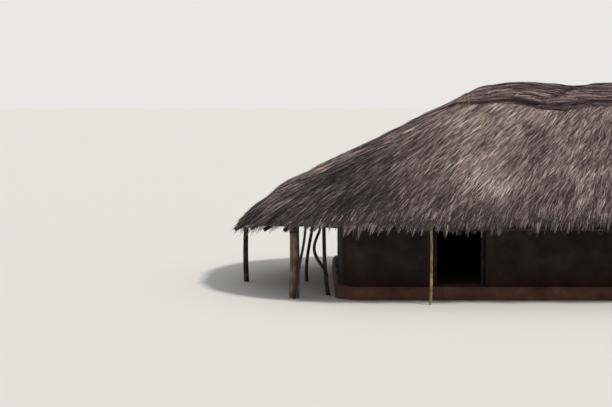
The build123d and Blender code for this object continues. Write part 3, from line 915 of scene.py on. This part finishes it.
class HUT_OT_crest(bpy.types.Operator):
    """Bind long bundles of grass along the ridge and down over its ends"""

    bl_idname = "hut.crest"
    bl_label = "Ridge Crest"

    def execute(self, context):
        skin = crest_skin(shared["form"])
        under = skin.copy()
        under[:, :, 2] -= CREST_EDGE
        under[:, 1:-1, 2] -= CREST_BODY - CREST_EDGE
        points = np.concatenate([skin.reshape(-1, 3), under.reshape(-1, 3)])
        width = CREST_ROWS + 1
        below = (CREST_COLUMNS + 1) * width
        faces = []
        for start in range(0, CREST_COLUMNS * width, width):
            for a in range(start, start + CREST_ROWS):
                b = a + width
                faces.append((a, b, b + 1, a + 1))
                faces.append((below + a, below + a + 1, below + b + 1, below + b))
            for a in (start, start + CREST_ROWS):
                faces.append((a, a + below, a + below + width, a + width))
        for start in (0, CREST_COLUMNS * width):
            for a in range(start, start + CREST_ROWS):
                faces.append((a, a + 1, a + 1 + below, a + below))
        mesh = mesh_from("crest_body", points, faces)
        # Its streaks run along the ridge, so the place along X comes last
        set_vectors(mesh, "landing", points[:, [1, 2, 0]])
        close_ends(mesh)
        body = link_piece("crest_body", mesh, shared["crest_coat"], "crest_thatch")
        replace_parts(body, *CREST_NODES)
        shared["cover"].append(mesh)
        self.lay_strands(skin)
        return {"FINISHED"}

    def lay_strands(self, skin):
        """Lay long wavy strands that follow the crest to its ends."""
        rng = np.random.default_rng(77)
        # Each strand runs from a place on the crest away from where its bundles part
        start = rng.uniform(-CREST_HALF, CREST_HALF, CREST_STRANDS)
        outward = np.where(start < CREST_PARTING, -1.0, 1.0)
        room = np.where(outward < 0, start + CREST_HALF, CREST_HALF - start) + 0.02
        length = np.minimum(rng.uniform(*STRAND_LENGTHS, CREST_STRANDS), room)
        row = rng.uniform(0, CREST_ROWS, CREST_STRANDS)
        share = row / CREST_ROWS * 2 - 1
        step = np.linspace(0, 1, STRAND_STEPS)[None, :]
        x = start[:, None] + outward[:, None] * length[:, None] * step
        wave = 0.9 * np.sin(x * 2.6 + row[:, None] * 0.35) + 0.5 * np.sin(x * 5.1 + row[:, None])
        drift = rng.normal(0, 1.1, CREST_STRANDS)[:, None] * step
        columns = (x + CREST_HALF) * (CREST_COLUMNS / (2 * CREST_HALF))
        paths = on_sheet(skin, columns, row[:, None] + wave * step + drift)
        # It comes out of the crest, lifts in the middle and lies down or stands off at its tip
        lift = rng.uniform(*STRAND_LIFTS, CREST_STRANDS)[:, None] * np.sin(math.pi * step) + 0.004
        tips = np.clip(rng.normal(0.0, 0.012, CREST_STRANDS), -0.01, 0.03)[:, None] * step ** 2
        paths[:, :, 2] += lift + tips - 0.02 * (1 - step) ** 2
        facing = np.stack([np.zeros(CREST_STRANDS), ROOF_SLOPE * share * 1.6,
                           np.ones(CREST_STRANDS)], axis=1)
        facing += rng.normal(0, 0.3, facing.shape)
        # Painted shade: strands are darker at the crest's edges and under the bundle that lies on
        # top
        clump = np.array([lumps((a * 1.4, b * 0.9, 3), 1, 2) for a, b in zip(start, row)])
        under = smoothstep(0.84, 0.97, np.abs(share))
        past = past_fold(start + outward * length / 2, share)
        under = np.maximum(under, smoothstep(-0.35, -0.03, past) * (past < 0.05))
        shades = np.clip(rng.normal(0.5, 0.24, CREST_STRANDS) + 0.6 * clump - 0.6 * under, 0, 1)
        widths = rng.uniform(*STRAND_WIDTHS, CREST_STRANDS)
        mesh = ribbons("crest_grass", paths, widths, shades, facing)
        link_piece("crest_grass", mesh, shared["crest_grass"], "crest_thatch")


# How far hand-laid mud strays from the plan, which share of that lies inside it, how far its
# lumps are apart, and how high they are beside each other
MUD_STRAY = 0.016
MUD_INWARD = 0.4
MUD_LUMPS = ((0.7, 0.55, 2.0), (0.4, 0.16, 6.0))
# The grids that carry the lumps of the walls and of the platform
MUD_GRID = 0.09
PLINTH_GRID = 0.06
# How far rain and feet have rounded the platform's edge, and the radius of the walls' corners
WORN_EDGE = 0.035
WALL_CORNER = 0.45


def cut_to_grid(mesh, spacing):
    """Cut a mesh along X, Y and Z so that it can follow the lumps of hand-laid mud."""
    work = bmesh.new()
    work.from_mesh(mesh)
    for axis in range(3):
        normal = Vector((axis == 0, axis == 1, axis == 2))
        values = [vertex.co[axis] for vertex in work.verts]
        low, high = min(values), max(values)
        count = int((high - low) / spacing)
        for number in range(1, count):
            bmesh.ops.bisect_plane(
                work, geom=work.verts[:] + work.edges[:] + work.faces[:], dist=1e-4,
                plane_co=normal * (low + (high - low) * number / count), plane_no=normal)
    work.to_mesh(mesh)
    work.free()


def wall_core():
    """Give half the length and depth of the walls' plan, less their rounded corners."""
    boxes = [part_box(name) for name in ("left_wall", "right_wall", "back_wall")]
    return [(max(box[1][axis] for box in boxes) - min(box[0][axis] for box in boxes)) / 2
            - WALL_CORNER for axis in (0, 1)]


def smear(node, spacing, material, slot, worn=False):
    """Give a mud piece the uneven faces of hand-laid mud, level with its neighbours'."""
    mesh = node_object(node).data.copy()
    cut_to_grid(mesh, spacing)
    core = wall_core()
    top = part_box(node)[1][2]
    for vertex in mesh.vertices:
        place = vertex.co
        near = Vector([max(-half, min(half, value)) for half, value in zip(core, place)])
        outward = place.to_2d() - near
        distance = outward.length
        if distance < 0.001:
            continue
        outward.normalize()
        stray = sum(height * lumps(place, size, seed) for height, size, seed in MUD_LUMPS)
        push = MUD_STRAY * (stray - MUD_INWARD)
        # Only the rim, which lies outside the walls, is worn
        if worn and distance > WALL_CORNER - 0.03:
            rounding = max(0, (place.z - (top - 2 * WORN_EDGE)) / (2 * WORN_EDGE))
            push -= WORN_EDGE * rounding ** 2 * (1 + 0.5 * lumps(place, 0.4, 4.0))
        place.x += outward.x * push
        place.y += outward.y * push
    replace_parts(link_piece(f"{node}_mud", mesh, material, slot), node)


def dress(name, material):
    """Give a node of the frame its finish."""
    piece = node_object(name)
    piece.data.materials.clear()
    piece.data.materials.append(material)


class HUT_OT_walls(bpy.types.Operator):
    """Plaster the walls, the platform and the floor"""

    bl_idname = "hut.walls"
    bl_label = "Mud Walls"

    def execute(self, context):
        for name in WALL_NODES:
            smear(name, MUD_GRID, shared["mud"], "mud_wall")
        smear("plinth", PLINTH_GRID, shared["earth"], "earth_plinth", worn=True)
        dress("floor", shared["floor"])
        return {"FINISHED"}


def islands(name):
    """Give the points of every separate solid of a node."""
    work = bmesh.new()
    work.from_mesh(node_object(name).data)
    bmesh.ops.remove_doubles(work, verts=work.verts, dist=1e-5)
    left = set(work.verts)
    found = []
    while left:
        open_ends = [left.pop()]
        group = []
        while open_ends:
            vertex = open_ends.pop()
            group.append(vertex.co.copy())
            for edge in vertex.link_edges:
                other = edge.other_vert(vertex)
                if other in left:
                    left.remove(other)
                    open_ends.append(other)
        found.append(np.array(group))
    work.free()
    return found


def axis_of(points):
    """Give the two ends of the middle line of a straight round pole."""
    middle = points.mean(axis=0)
    direction = np.linalg.svd(points - middle, full_matrices=False)[2][0]
    along = (points - middle) @ direction
    return middle + direction * along.min(), middle + direction * along.max()


# Half the thickness of the poles and of the rods across them, as in the frame
RAFTER_RADIUS = 0.045
BATTEN_RADIUS = 0.018
# A rod bends over a rafter of the end no nearer than this to the rafter's top and its foot
BEND_BELOW_TOP = 0.1
BEND_OVER_FOOT = 0.05


def batten_bend(front, back, rafters):
    """Give the points of a rod that goes on from a front batten round the end to the back."""
    places = []
    for start, end in rafters:
        length = np.linalg.norm(end - start)
        way = (end - start) / length
        beside = np.cross(way, (0, 0, 1))
        up = np.cross(beside / np.linalg.norm(beside), way) * (RAFTER_RADIUS + BATTEN_RADIUS)
        run = (front[2] - start[2] - up[2]) / way[2]
        if BEND_BELOW_TOP < run < length - BEND_OVER_FOOT:
            places.append(start + way * run + up)
    places.sort(key=lambda place: place[1])
    return [front, *places, back]


def rod_mesh(name, paths, radius):
    """Bend round rods along paths of points and give them as one mesh."""
    curve = bpy.data.curves.new(name, "CURVE")
    curve.dimensions = "3D"
    curve.bevel_depth = radius
    curve.bevel_resolution = 2
    curve.use_fill_caps = True
    for path in paths:
        line = curve.splines.new("POLY")
        line.points.add(len(path) - 1)
        for point, place in zip(line.points, path):
            point.co = (*place, 1)
    bent = bpy.data.objects.new(name, curve)
    bpy.context.scene.collection.objects.link(bent)
    bpy.context.view_layer.update()
    mesh = bpy.data.meshes.new_from_object(
        bent.evaluated_get(bpy.context.evaluated_depsgraph_get()))
    bpy.data.objects.remove(bent)
    return mesh


class HUT_OT_end_battens(bpy.types.Operator):
    """Bend the battens round both ends of the roof, from the front to the back"""

    bl_idname = "hut.end_battens"
    bl_label = "End Battens"

    def execute(self, context):
        fronts = [axis_of(points) for points in islands("front_battens")]
        backs = [end for points in islands("back_battens") for end in axis_of(points)]
        paths = []
        for side, node in ((0, "left_rafters"), (1, "right_rafters")):
            rafters = [sorted(axis_of(points), key=lambda end: -end[2])
                       for points in islands(node)]
            for rod in fronts:
                front = sorted(rod, key=lambda end: end[0])[side]
                back = min(backs, key=lambda end: np.linalg.norm(end - front * (1, -1, 1)))
                paths.append(batten_bend(front, back, rafters))
        mesh = rod_mesh("end_battens", paths, BATTEN_RADIUS)
        link_piece("end_battens", mesh, shared["roof_wood"], "roof_pole")
        shared["end_battens"] = mesh
        return {"FINISHED"}


# Strips of bark: how wide and how thick they are, and how many straight parts go once round
STRIP_WIDTH = 0.014
STRIP_THICKNESS = 0.004
STRIP_PARTS = 10
# A rod crosses a rafter where it comes nearest to it, at most this far away, looked for in
# steps of this length
CROSSING_GAP = 0.06
CROSSING_STEP = 0.02
# Two ovals tie it there: how far up their middles lie, which way they lean along the rafter
# and how much of them runs beside it, and half their height and width
CROSSING_RISE = 0.018
CROSSING_LEANS = (-0.6, 0.6)
CROSSING_BESIDE = 0.8
CROSSING_HALVES = (0.068, 0.058)
# Three strips hang from the rafter over a post: how they lean, how far down their middles
# lie, half their height, and how loose they are. Three more go round the post below its top
HEAD_LEANS = (-0.35, -0.1, 0.2)
HEAD_SINK = 0.06
HEAD_HALF = 0.125
HEAD_SLACK = 0.008
NECK_DROPS = (0.05, 0.068, 0.085)


def loops(places, ups, sides, half_heights, half_widths):
    """Make closed flat strips, each an oval round two poles that cross."""
    turn = np.linspace(0, math.tau, STRIP_PARTS, endpoint=False)[None, :, None]
    path = (places[:, None] + np.cos(turn) * ups[:, None] * half_heights[:, None, None]
            + np.sin(turn) * sides[:, None] * half_widths[:, None, None])
    across = np.cross(ups, sides)[:, None] * STRIP_WIDTH / 2
    outward = path - places[:, None]
    outward *= STRIP_THICKNESS / np.linalg.norm(outward, axis=2, keepdims=True)
    rings = np.stack([path - across, path + across, path + across + outward,
                      path - across + outward], axis=2)
    faces = []
    for start in range(0, len(places) * STRIP_PARTS * 4, STRIP_PARTS * 4):
        for part in range(STRIP_PARTS):
            here, after = start + part * 4, start + (part + 1) % STRIP_PARTS * 4
            for corner in range(4):
                beside = (corner + 1) % 4
                faces.append((here + corner, here + beside, after + beside, after + corner))
    return rings.reshape(-1, 3), faces


def crossings(rafter_node, tree):
    """Find where battens cross rafters: the place, the way up and the rafter's direction."""
    found = []
    for points in islands(rafter_node):
        start, end = axis_of(points)
        length = np.linalg.norm(end - start)
        way = (end - start) / length
        places = [start + way * at for at in np.arange(0, length, CROSSING_STEP)]
        hits = [tree.find_nearest(Vector(place)) for place in places]
        gaps = [hit[3] for hit in hits]
        for index in range(1, len(gaps) - 1):
            if gaps[index] < CROSSING_GAP and gaps[index - 1] >= gaps[index] < gaps[index + 1]:
                up = np.array(hits[index][0]) - places[index]
                found.append((places[index], up / np.linalg.norm(up), way))
    return found


def line_gap(point, ends):
    """Give how far a point lies from a pole's middle line."""
    way = ends[1] - ends[0]
    at = np.clip((point - ends[0]) @ way / (way @ way), 0, 1)
    return np.linalg.norm(point - ends[0] - at * way)


def post_ovals(name, axes):
    """Find the strips that tie a post's top to the rafter over it."""
    points = np.array([vertex.co[:] for vertex in node_object(name).data.vertices])
    head = points[points[:, 2] > points[:, 2].max() - 0.002]
    top = (head.min(axis=0) + head.max(axis=0)) / 2
    radius = (head[:, 0].max() - head[:, 0].min()) / 2
    start, end = min(axes, key=lambda ends: line_gap(top, ends))
    way = (end - start) / np.linalg.norm(end - start)
    over = start + way * ((top - start) @ way)
    up = np.array([0.0, 0.0, 1.0])
    beside = np.cross(up, way)
    beside /= np.linalg.norm(beside)
    level = np.cross(beside, up)
    ovals = []
    for lean in HEAD_LEANS:
        side = beside + level * lean
        side /= np.linalg.norm(side)
        half_width = max(radius, RAFTER_RADIUS) + HEAD_SLACK
        ovals.append((over - up * HEAD_SINK, up, side, HEAD_HALF, half_width))
    for drop in NECK_DROPS:
        round_post = radius + STRIP_THICKNESS
        ovals.append((top - up * drop, beside, level, round_post, round_post))
    return ovals


class HUT_OT_bindings(bpy.types.Operator):
    """Tie the battens to the rafters and the rafters to the posts with strips of bark"""

    bl_idname = "hut.bindings"
    bl_label = "Bark Bindings"

    def execute(self, context):
        rods = node_meshes(["front_battens", "back_battens"])
        tree = tree_of(rods + [shared["end_battens"]])
        ovals = []
        for rafters in ("front_rafters", "back_rafters", "left_rafters", "right_rafters"):
            for place, up, way in crossings(rafters, tree):
                beside = np.cross(up, way) * CROSSING_BESIDE
                for lean in CROSSING_LEANS:
                    ovals.append((place + up * CROSSING_RISE, up, way * lean + beside,
                                  *CROSSING_HALVES))
        axes = [axis_of(points) for name in ("left_rafters", "right_rafters", "front_rafters")
                for points in islands(name)]
        for name in nodes:
            if name == "front_pole" or "post" in name and name != "ridge_posts":
                ovals.extend(post_ovals(name, axes))
        points, faces = loops(*(np.array(column) for column in zip(*ovals)))
        mesh = mesh_from("bark_bindings", points, faces, smooth=False)
        link_piece("bark_bindings", mesh, shared["bark_strip"], "roof_pole")
        return {"FINISHED"}


# Ties over the crest: place along X and how far they hang down each slope
TIE_PLACES = ((2.38, 0.74), (2.47, 0.62))
TIE_POINTS = 25
TIE_WIDTH = 0.022
# How high they lie over it, how far they wander sideways, and how far their ends sink in
TIE_LIFT = 0.045
TIE_WANDER = 0.03
TIE_SINK = 0.03


class HUT_OT_ties(bpy.types.Operator):
    """Lay pale strips over the crest to hold it down"""

    bl_idname = "hut.ties"
    bl_label = "Crest Ties"

    def execute(self, context):
        tree = tree_of(shared["cover"])
        paths = []
        for end in (-1, 1):
            for along, reach in TIE_PLACES:
                path = []
                for share in np.linspace(-1, 1, TIE_POINTS):
                    wander = TIE_WANDER * noise.noise(Vector((share * 3, along, end)))
                    x, y = end * along + wander, share * reach
                    z = tree.ray_cast(Vector((x, y, ABOVE_ROOF)), Vector((0, 0, -1)))[0].z
                    path.append((x, y, z + TIE_LIFT - TIE_SINK * share ** 8))
                paths.append(path)
        paths = np.array(paths)
        # Each tie is two ribbons that taper from the ridge down to their ends
        middle = TIE_POINTS // 2
        halves = np.concatenate([paths[:, middle::-1], paths[:, middle:]])
        count = len(halves)
        facing = np.tile([0.0, 0.0, 1.0], (count, 1))
        mesh = ribbons("crest_ties", halves, np.full(count, TIE_WIDTH), np.full(count, 0.5),
                       facing)
        link_piece("crest_ties", mesh, shared["pale_strip"], "crest_thatch")
        return {"FINISHED"}


# The finish of each pole: the first of these words that its name has in it tells which
POLE_FINISHES = (
    ("front_post", "grey_wood"), ("back_post", "grey_wood"), ("front_pole", "peeled_wood"),
    ("post", "dark_bark"), ("leaning_pole", "dark_bark"), ("ridge_pole", "roof_wood"),
    ("rafters", "roof_wood"), ("battens", "roof_wood"), ("door_", "roof_wood"))


class HUT_OT_poles(bpy.types.Operator):
    """Give every pole its bark or weathered wood"""

    bl_idname = "hut.poles"
    bl_label = "Poles"

    def execute(self, context):
        for name in nodes:
            finish = next((finish for word, finish in POLE_FINISHES if word in name), None)
            if finish:
                dress(name, shared[finish])
        return {"FINISHED"}


# The photograph's frame in pixels, with the row of its horizon and its focal length
PHOTO_WIDTH = 612
PHOTO_HEIGHT = 407
HORIZON_ROW = 60
PHOTO_FOCAL = 1700
SENSOR_WIDTH = 36
FARTHEST_SEEN = 600
# The floor reaches this far to every side
FLOOR_HALF = 140.0
# The light of a bright hazy sky, and a soft sun high over the viewer's right shoulder
SKY_LIGHT = (0.93, 0.96, 1.0, 1)
SUN_LIGHT = (1.0, 0.96, 0.9)
SUN_FALLS = (-0.6, 0.45, -0.95)
SUN_ACROSS = math.radians(9)


class HUT_OT_stage(bpy.types.Operator):
    """Set the plain floor, the soft light and the camera"""

    bl_idname = "hut.stage"
    bl_label = "Stage"

    def execute(self, context):
        scene = context.scene
        self.lay_floor(scene.hut_stage)
        self.light(scene)
        self.set_camera(scene)
        scene.view_settings.view_transform = "Standard"
        return {"FINISHED"}

    def lay_floor(self, stage):
        """Lay a plain pale floor under the hut."""
        corners = [(x * FLOOR_HALF, y * FLOOR_HALF, 0)
                   for x, y in ((-1, -1), (1, -1), (1, 1), (-1, 1))]
        mesh = mesh_from("ground", corners, [(0, 1, 2, 3)], smooth=False)
        material = new_material("pale_floor", stage.floor_colour)[0]
        link_piece("ground", mesh, material, None)

    def light(self, scene):
        """Light the hut from all round and with a sun; what the eye sees behind is plain."""
        world = bpy.data.worlds.new("soft_sky")
        scene.world = world
        world.use_nodes = True
        sky = world.node_tree
        sky.nodes.clear()
        rays = add_node(sky, "ShaderNodeLightPath").outputs
        seen = rays["Is Camera Ray"]
        for kind in ("Is Glossy Ray", "Is Transmission Ray"):
            seen = add_node(sky, "ShaderNodeMath", {0: seen, 1: rays[kind]}, operation="MAXIMUM")
        dome = add_node(sky, "ShaderNodeBackground", {
            "Color": SKY_LIGHT, "Strength": scene.hut_stage.sky_strength})
        plain = add_node(sky, "ShaderNodeBackground", {
            "Color": (*scene.hut_stage.backdrop_colour, 1), "Strength": 1.0})
        both = add_node(sky, "ShaderNodeMixShader", {0: seen, 1: dome, 2: plain})
        add_node(sky, "ShaderNodeOutputWorld", {"Surface": both})

        lamp = bpy.data.lights.new("high_sun", "SUN")
        lamp.energy = scene.hut_stage.sun_strength
        lamp.angle = SUN_ACROSS
        lamp.color = SUN_LIGHT
        sun = bpy.data.objects.new("high_sun", lamp)
        sun.rotation_euler = Vector(SUN_FALLS).to_track_quat("-Z", "Y").to_euler()
        scene.collection.objects.link(sun)

    def set_camera(self, scene):
        """Set the camera where the photographer stood."""
        lens = bpy.data.cameras.new("eye")
        lens.lens = PHOTO_FOCAL / PHOTO_WIDTH * SENSOR_WIDTH
        lens.sensor_width = SENSOR_WIDTH
        lens.clip_end = FARTHEST_SEEN
        eye = bpy.data.objects.new("eye", lens)
        eye.location = scene.hut_stage.eye
        pitch = math.atan((PHOTO_HEIGHT / 2 - HORIZON_ROW) / PHOTO_FOCAL)
        eye.rotation_euler = (math.pi / 2 - pitch, 0, 0)
        scene.collection.objects.link(eye)
        scene.camera = eye


class HutThatch(bpy.types.PropertyGroup):
    """Sizes of the thatch"""

    density: FloatProperty(
        name="Stalks", description="Stalks laid on a square metre", default=640.0, min=10)
    stalk_length: FloatProperty(
        name="Stalk Length", description="Length of a laid stalk that shows", default=0.52,
        unit="LENGTH")
    stalk_width: FloatProperty(
        name="Stalk Width", description="Width of a flattened bunch of stalks", default=0.018,
        unit="LENGTH")
    tuft_shortest: FloatProperty(
        name="Shortest Tuft", description="Least length of a tuft at the eave", default=0.22,
        unit="LENGTH")
    tuft_longest: FloatProperty(
        name="Longest Tuft", description="Greatest length of most tufts at the eave",
        default=0.41, unit="LENGTH")


class HutFinish(bpy.types.PropertyGroup):
    """Colours laid over the finishes, where white leaves them as they are"""

    grass: FloatVectorProperty(
        name="Grass", description="Colour laid over all the grass", default=(1.0, 1.0, 1.0),
        subtype="COLOR")
    mud: FloatVectorProperty(
        name="Mud", description="Colour laid over walls, platform and floor",
        default=(1.0, 1.0, 1.0), subtype="COLOR")
    wood: FloatVectorProperty(
        name="Wood", description="Colour laid over poles and strips of bark",
        default=(1.0, 1.0, 1.0), subtype="COLOR")


class HutStage(bpy.types.PropertyGroup):
    """Light, floor and view"""

    sky_strength: FloatProperty(name="Sky", description="Light of the sky", default=0.55)
    sun_strength: FloatProperty(name="Sun", description="Light of the soft sun", default=2.5)
    floor_colour: FloatVectorProperty(
        name="Floor", description="Colour of the floor", default=linear("d9d6d0"),
        subtype="COLOR")
    backdrop_colour: FloatVectorProperty(
        name="Backdrop", description="Colour seen behind the hut", default=linear("e9e8e6"),
        subtype="COLOR")
    eye: FloatVectorProperty(
        name="Eye", description="Where the viewer stands", default=(-6.06, -39.0, 5.1),
        subtype="TRANSLATION")


STEPS = (HUT_OT_thatch_coat, HUT_OT_grass, HUT_OT_fringe, HUT_OT_crest, HUT_OT_ties,
         HUT_OT_walls, HUT_OT_poles, HUT_OT_end_battens, HUT_OT_bindings, HUT_OT_stage)


class HUT_PT_panel(bpy.types.Panel):
    """List the steps that dress the hut"""

    bl_label = "Thatched Hut"
    bl_idname = "HUT_PT_panel"
    bl_space_type = "VIEW_3D"
    bl_region_type = "UI"
    bl_category = "Hut"

    def draw(self, context):
        for step in STEPS:
            self.layout.operator(step.bl_idname)
        scene = context.scene
        for group in (scene.hut_thatch, scene.hut_finish, scene.hut_stage):
            for name in group.__annotations__:
                self.layout.prop(group, name)


CLASSES = (HutThatch, HutFinish, HutStage, *STEPS, HUT_PT_panel)


def register():
    """Register the classes and the scene's settings."""
    for item in CLASSES:
        bpy.utils.register_class(item)
    bpy.types.Scene.hut_thatch = PointerProperty(type=HutThatch)
    bpy.types.Scene.hut_finish = PointerProperty(type=HutFinish)
    bpy.types.Scene.hut_stage = PointerProperty(type=HutStage)


def unregister():
    """Remove the settings and the classes."""
    del bpy.types.Scene.hut_stage
    del bpy.types.Scene.hut_finish
    del bpy.types.Scene.hut_thatch
    for item in reversed(CLASSES):
        bpy.utils.unregister_class(item)


def make_finishes():
    """Make every material that the steps share."""
    tints = bpy.context.scene.hut_finish
    # Savanna grass after many rains: grey with a touch of violet, with pale split stalks
    # and dark gaps between them
    shared["grass"] = grass_material(
        "weathered_thatching_grass", tints.grass,
        ((0.05, "3a3230"), (0.3, "6b605d"), (0.55, "938581"), (0.8, "b5a7a1"), (1.0, "dccfc4")),
        ((0.3, "b3aaab"), (0.5, "e4dedd"), (0.7, "fffaf4")))
    # The same grass packed tight, painted dark for the shade it lies in, seen only as dark
    # streaks between the loose stalks
    shared["coat"] = coat_material(
        "packed_thatching_grass_painted_shade", tints.grass,
        ((0.3, "262120"), (0.5, "4a403e"), (0.72, "756863")))
    # The ridge's grass is thicker and browner, and its bundles throw shade on each other
    shared["crest_grass"] = grass_material(
        "ridge_grass", tints.grass,
        ((0.05, "261f1f"), (0.3, "5a4c4a"), (0.6, "8a7a77"), (0.85, "ae9d99"), (1.0, "d6c5bf")),
        ((0.3, "b8adab"), (0.7, "fff8f4")))
    # The ridge's packed body, painted darker than its strands for the shade between them
    shared["crest_coat"] = coat_material(
        "packed_ridge_grass_painted_shade", tints.grass,
        ((0.3, "332a2a"), (0.5, "584b49"), (0.72, "7d6e6a")))
    # Clay daub darkened by cooking smoke and painted nearly black for the deep shade under the
    # eave, darker still towards the top for smoke and painted shade, redder at its foot, where
    # rain splashes earth up; its cracks lie about 0.3 m apart
    shared["mud"] = mud_material(
        "smoked_and_shaded_mud_plaster", tints.mud,
        ((0.3, "1f1815"), (0.5, "2c231d"), (0.7, "3a2e26")),
        3.0, (0.28, 2.2), "d09078", "4a423e")
    # Red earth that feet have trodden hard, painted darker for the shade under the eave, cracked
    # every 0.25 m
    shared["earth"] = mud_material(
        "shaded_trodden_red_earth", tints.mud,
        ((0.3, "452f25"), (0.55, "5f4334"), (0.75, "765544")),
        4.0, (-0.3, 0.9), "cda793", "ddd2c6")
    # A floor smeared smooth by hand, dull brown, with few cracks
    shared["floor"] = mud_material(
        "smeared_earth_floor", tints.mud,
        ((0.3, "4a382d"), (0.55, "5f4a3a"), (0.75, "725b48")),
        2.0, (-0.6, 1.2), "ffffff", "ffffff")
    # Thick posts bleached grey, split every 30 mm for nearly half a metre
    shared["grey_wood"] = bark_material(
        "weathered_grey_wood", tints.wood,
        ((0.25, "3b3029"), (0.5, "75655a"), (0.75, "a08e7a")),
        0.012, (34, 34, 2.2))
    # Thin poles still in their dark bark, furrowed every 25 mm for 250 mm
    shared["dark_bark"] = bark_material(
        "dark_bark", tints.wood,
        ((0.25, "1f1814"), (0.5, "43352b"), (0.78, "6b5848")),
        0.008, (40, 40, 4))
    # Strips of inner bark, brown and fibrous, flecked every 17 mm on all sides because they
    # run every way
    shared["bark_strip"] = bark_material(
        "bark_strip", tints.wood,
        ((0.25, "2c231b"), (0.5, "4b3c2f"), (0.78, "6b5a48")),
        0.002, (60, 60, 60))
    # The ties over the crest are dried pale by the sun, with fibres along Y as they lie
    shared["pale_strip"] = bark_material(
        "pale_bark_strip", tints.wood,
        ((0.25, "7a6e62"), (0.5, "a3978a"), (0.78, "c4b9aa")),
        0.002, (40, 8, 40))
    # A newer pole without its bark, pale, with shallow grain 25 mm by 330 mm
    shared["peeled_wood"] = bark_material(
        "peeled_pole", tints.wood,
        ((0.25, "6b5f52"), (0.5, "9c8e7c"), (0.78, "c2b49e")),
        0.004, (40, 40, 3))
    # Roof poles under a dull coat of soot and painted darker for the shade under the eave, in
    # blotches 55 mm wide since they run every way
    shared["roof_wood"] = bark_material(
        "smoked_and_shaded_roof_poles", tints.wood,
        ((0.25, "17120f"), (0.5, "2f2620"), (0.78, "4d4035")),
        0.006, (18, 18, 18))


def main():
    """Dress the hut, step by step."""
    register()
    make_finishes()
    shared["form"] = RoofForm()
    shared["grass_tree"] = grass_tree()
    bpy.ops.hut.thatch_coat()
    bpy.ops.hut.grass()
    bpy.ops.hut.fringe()
    bpy.ops.hut.crest()
    bpy.ops.hut.ties()
    bpy.ops.hut.walls()
    bpy.ops.hut.poles()
    bpy.ops.hut.end_battens()
    bpy.ops.hut.bindings()
    bpy.ops.hut.stage()
    bpy.context.view_layer.update()


if __name__ == "__main__":
    main()
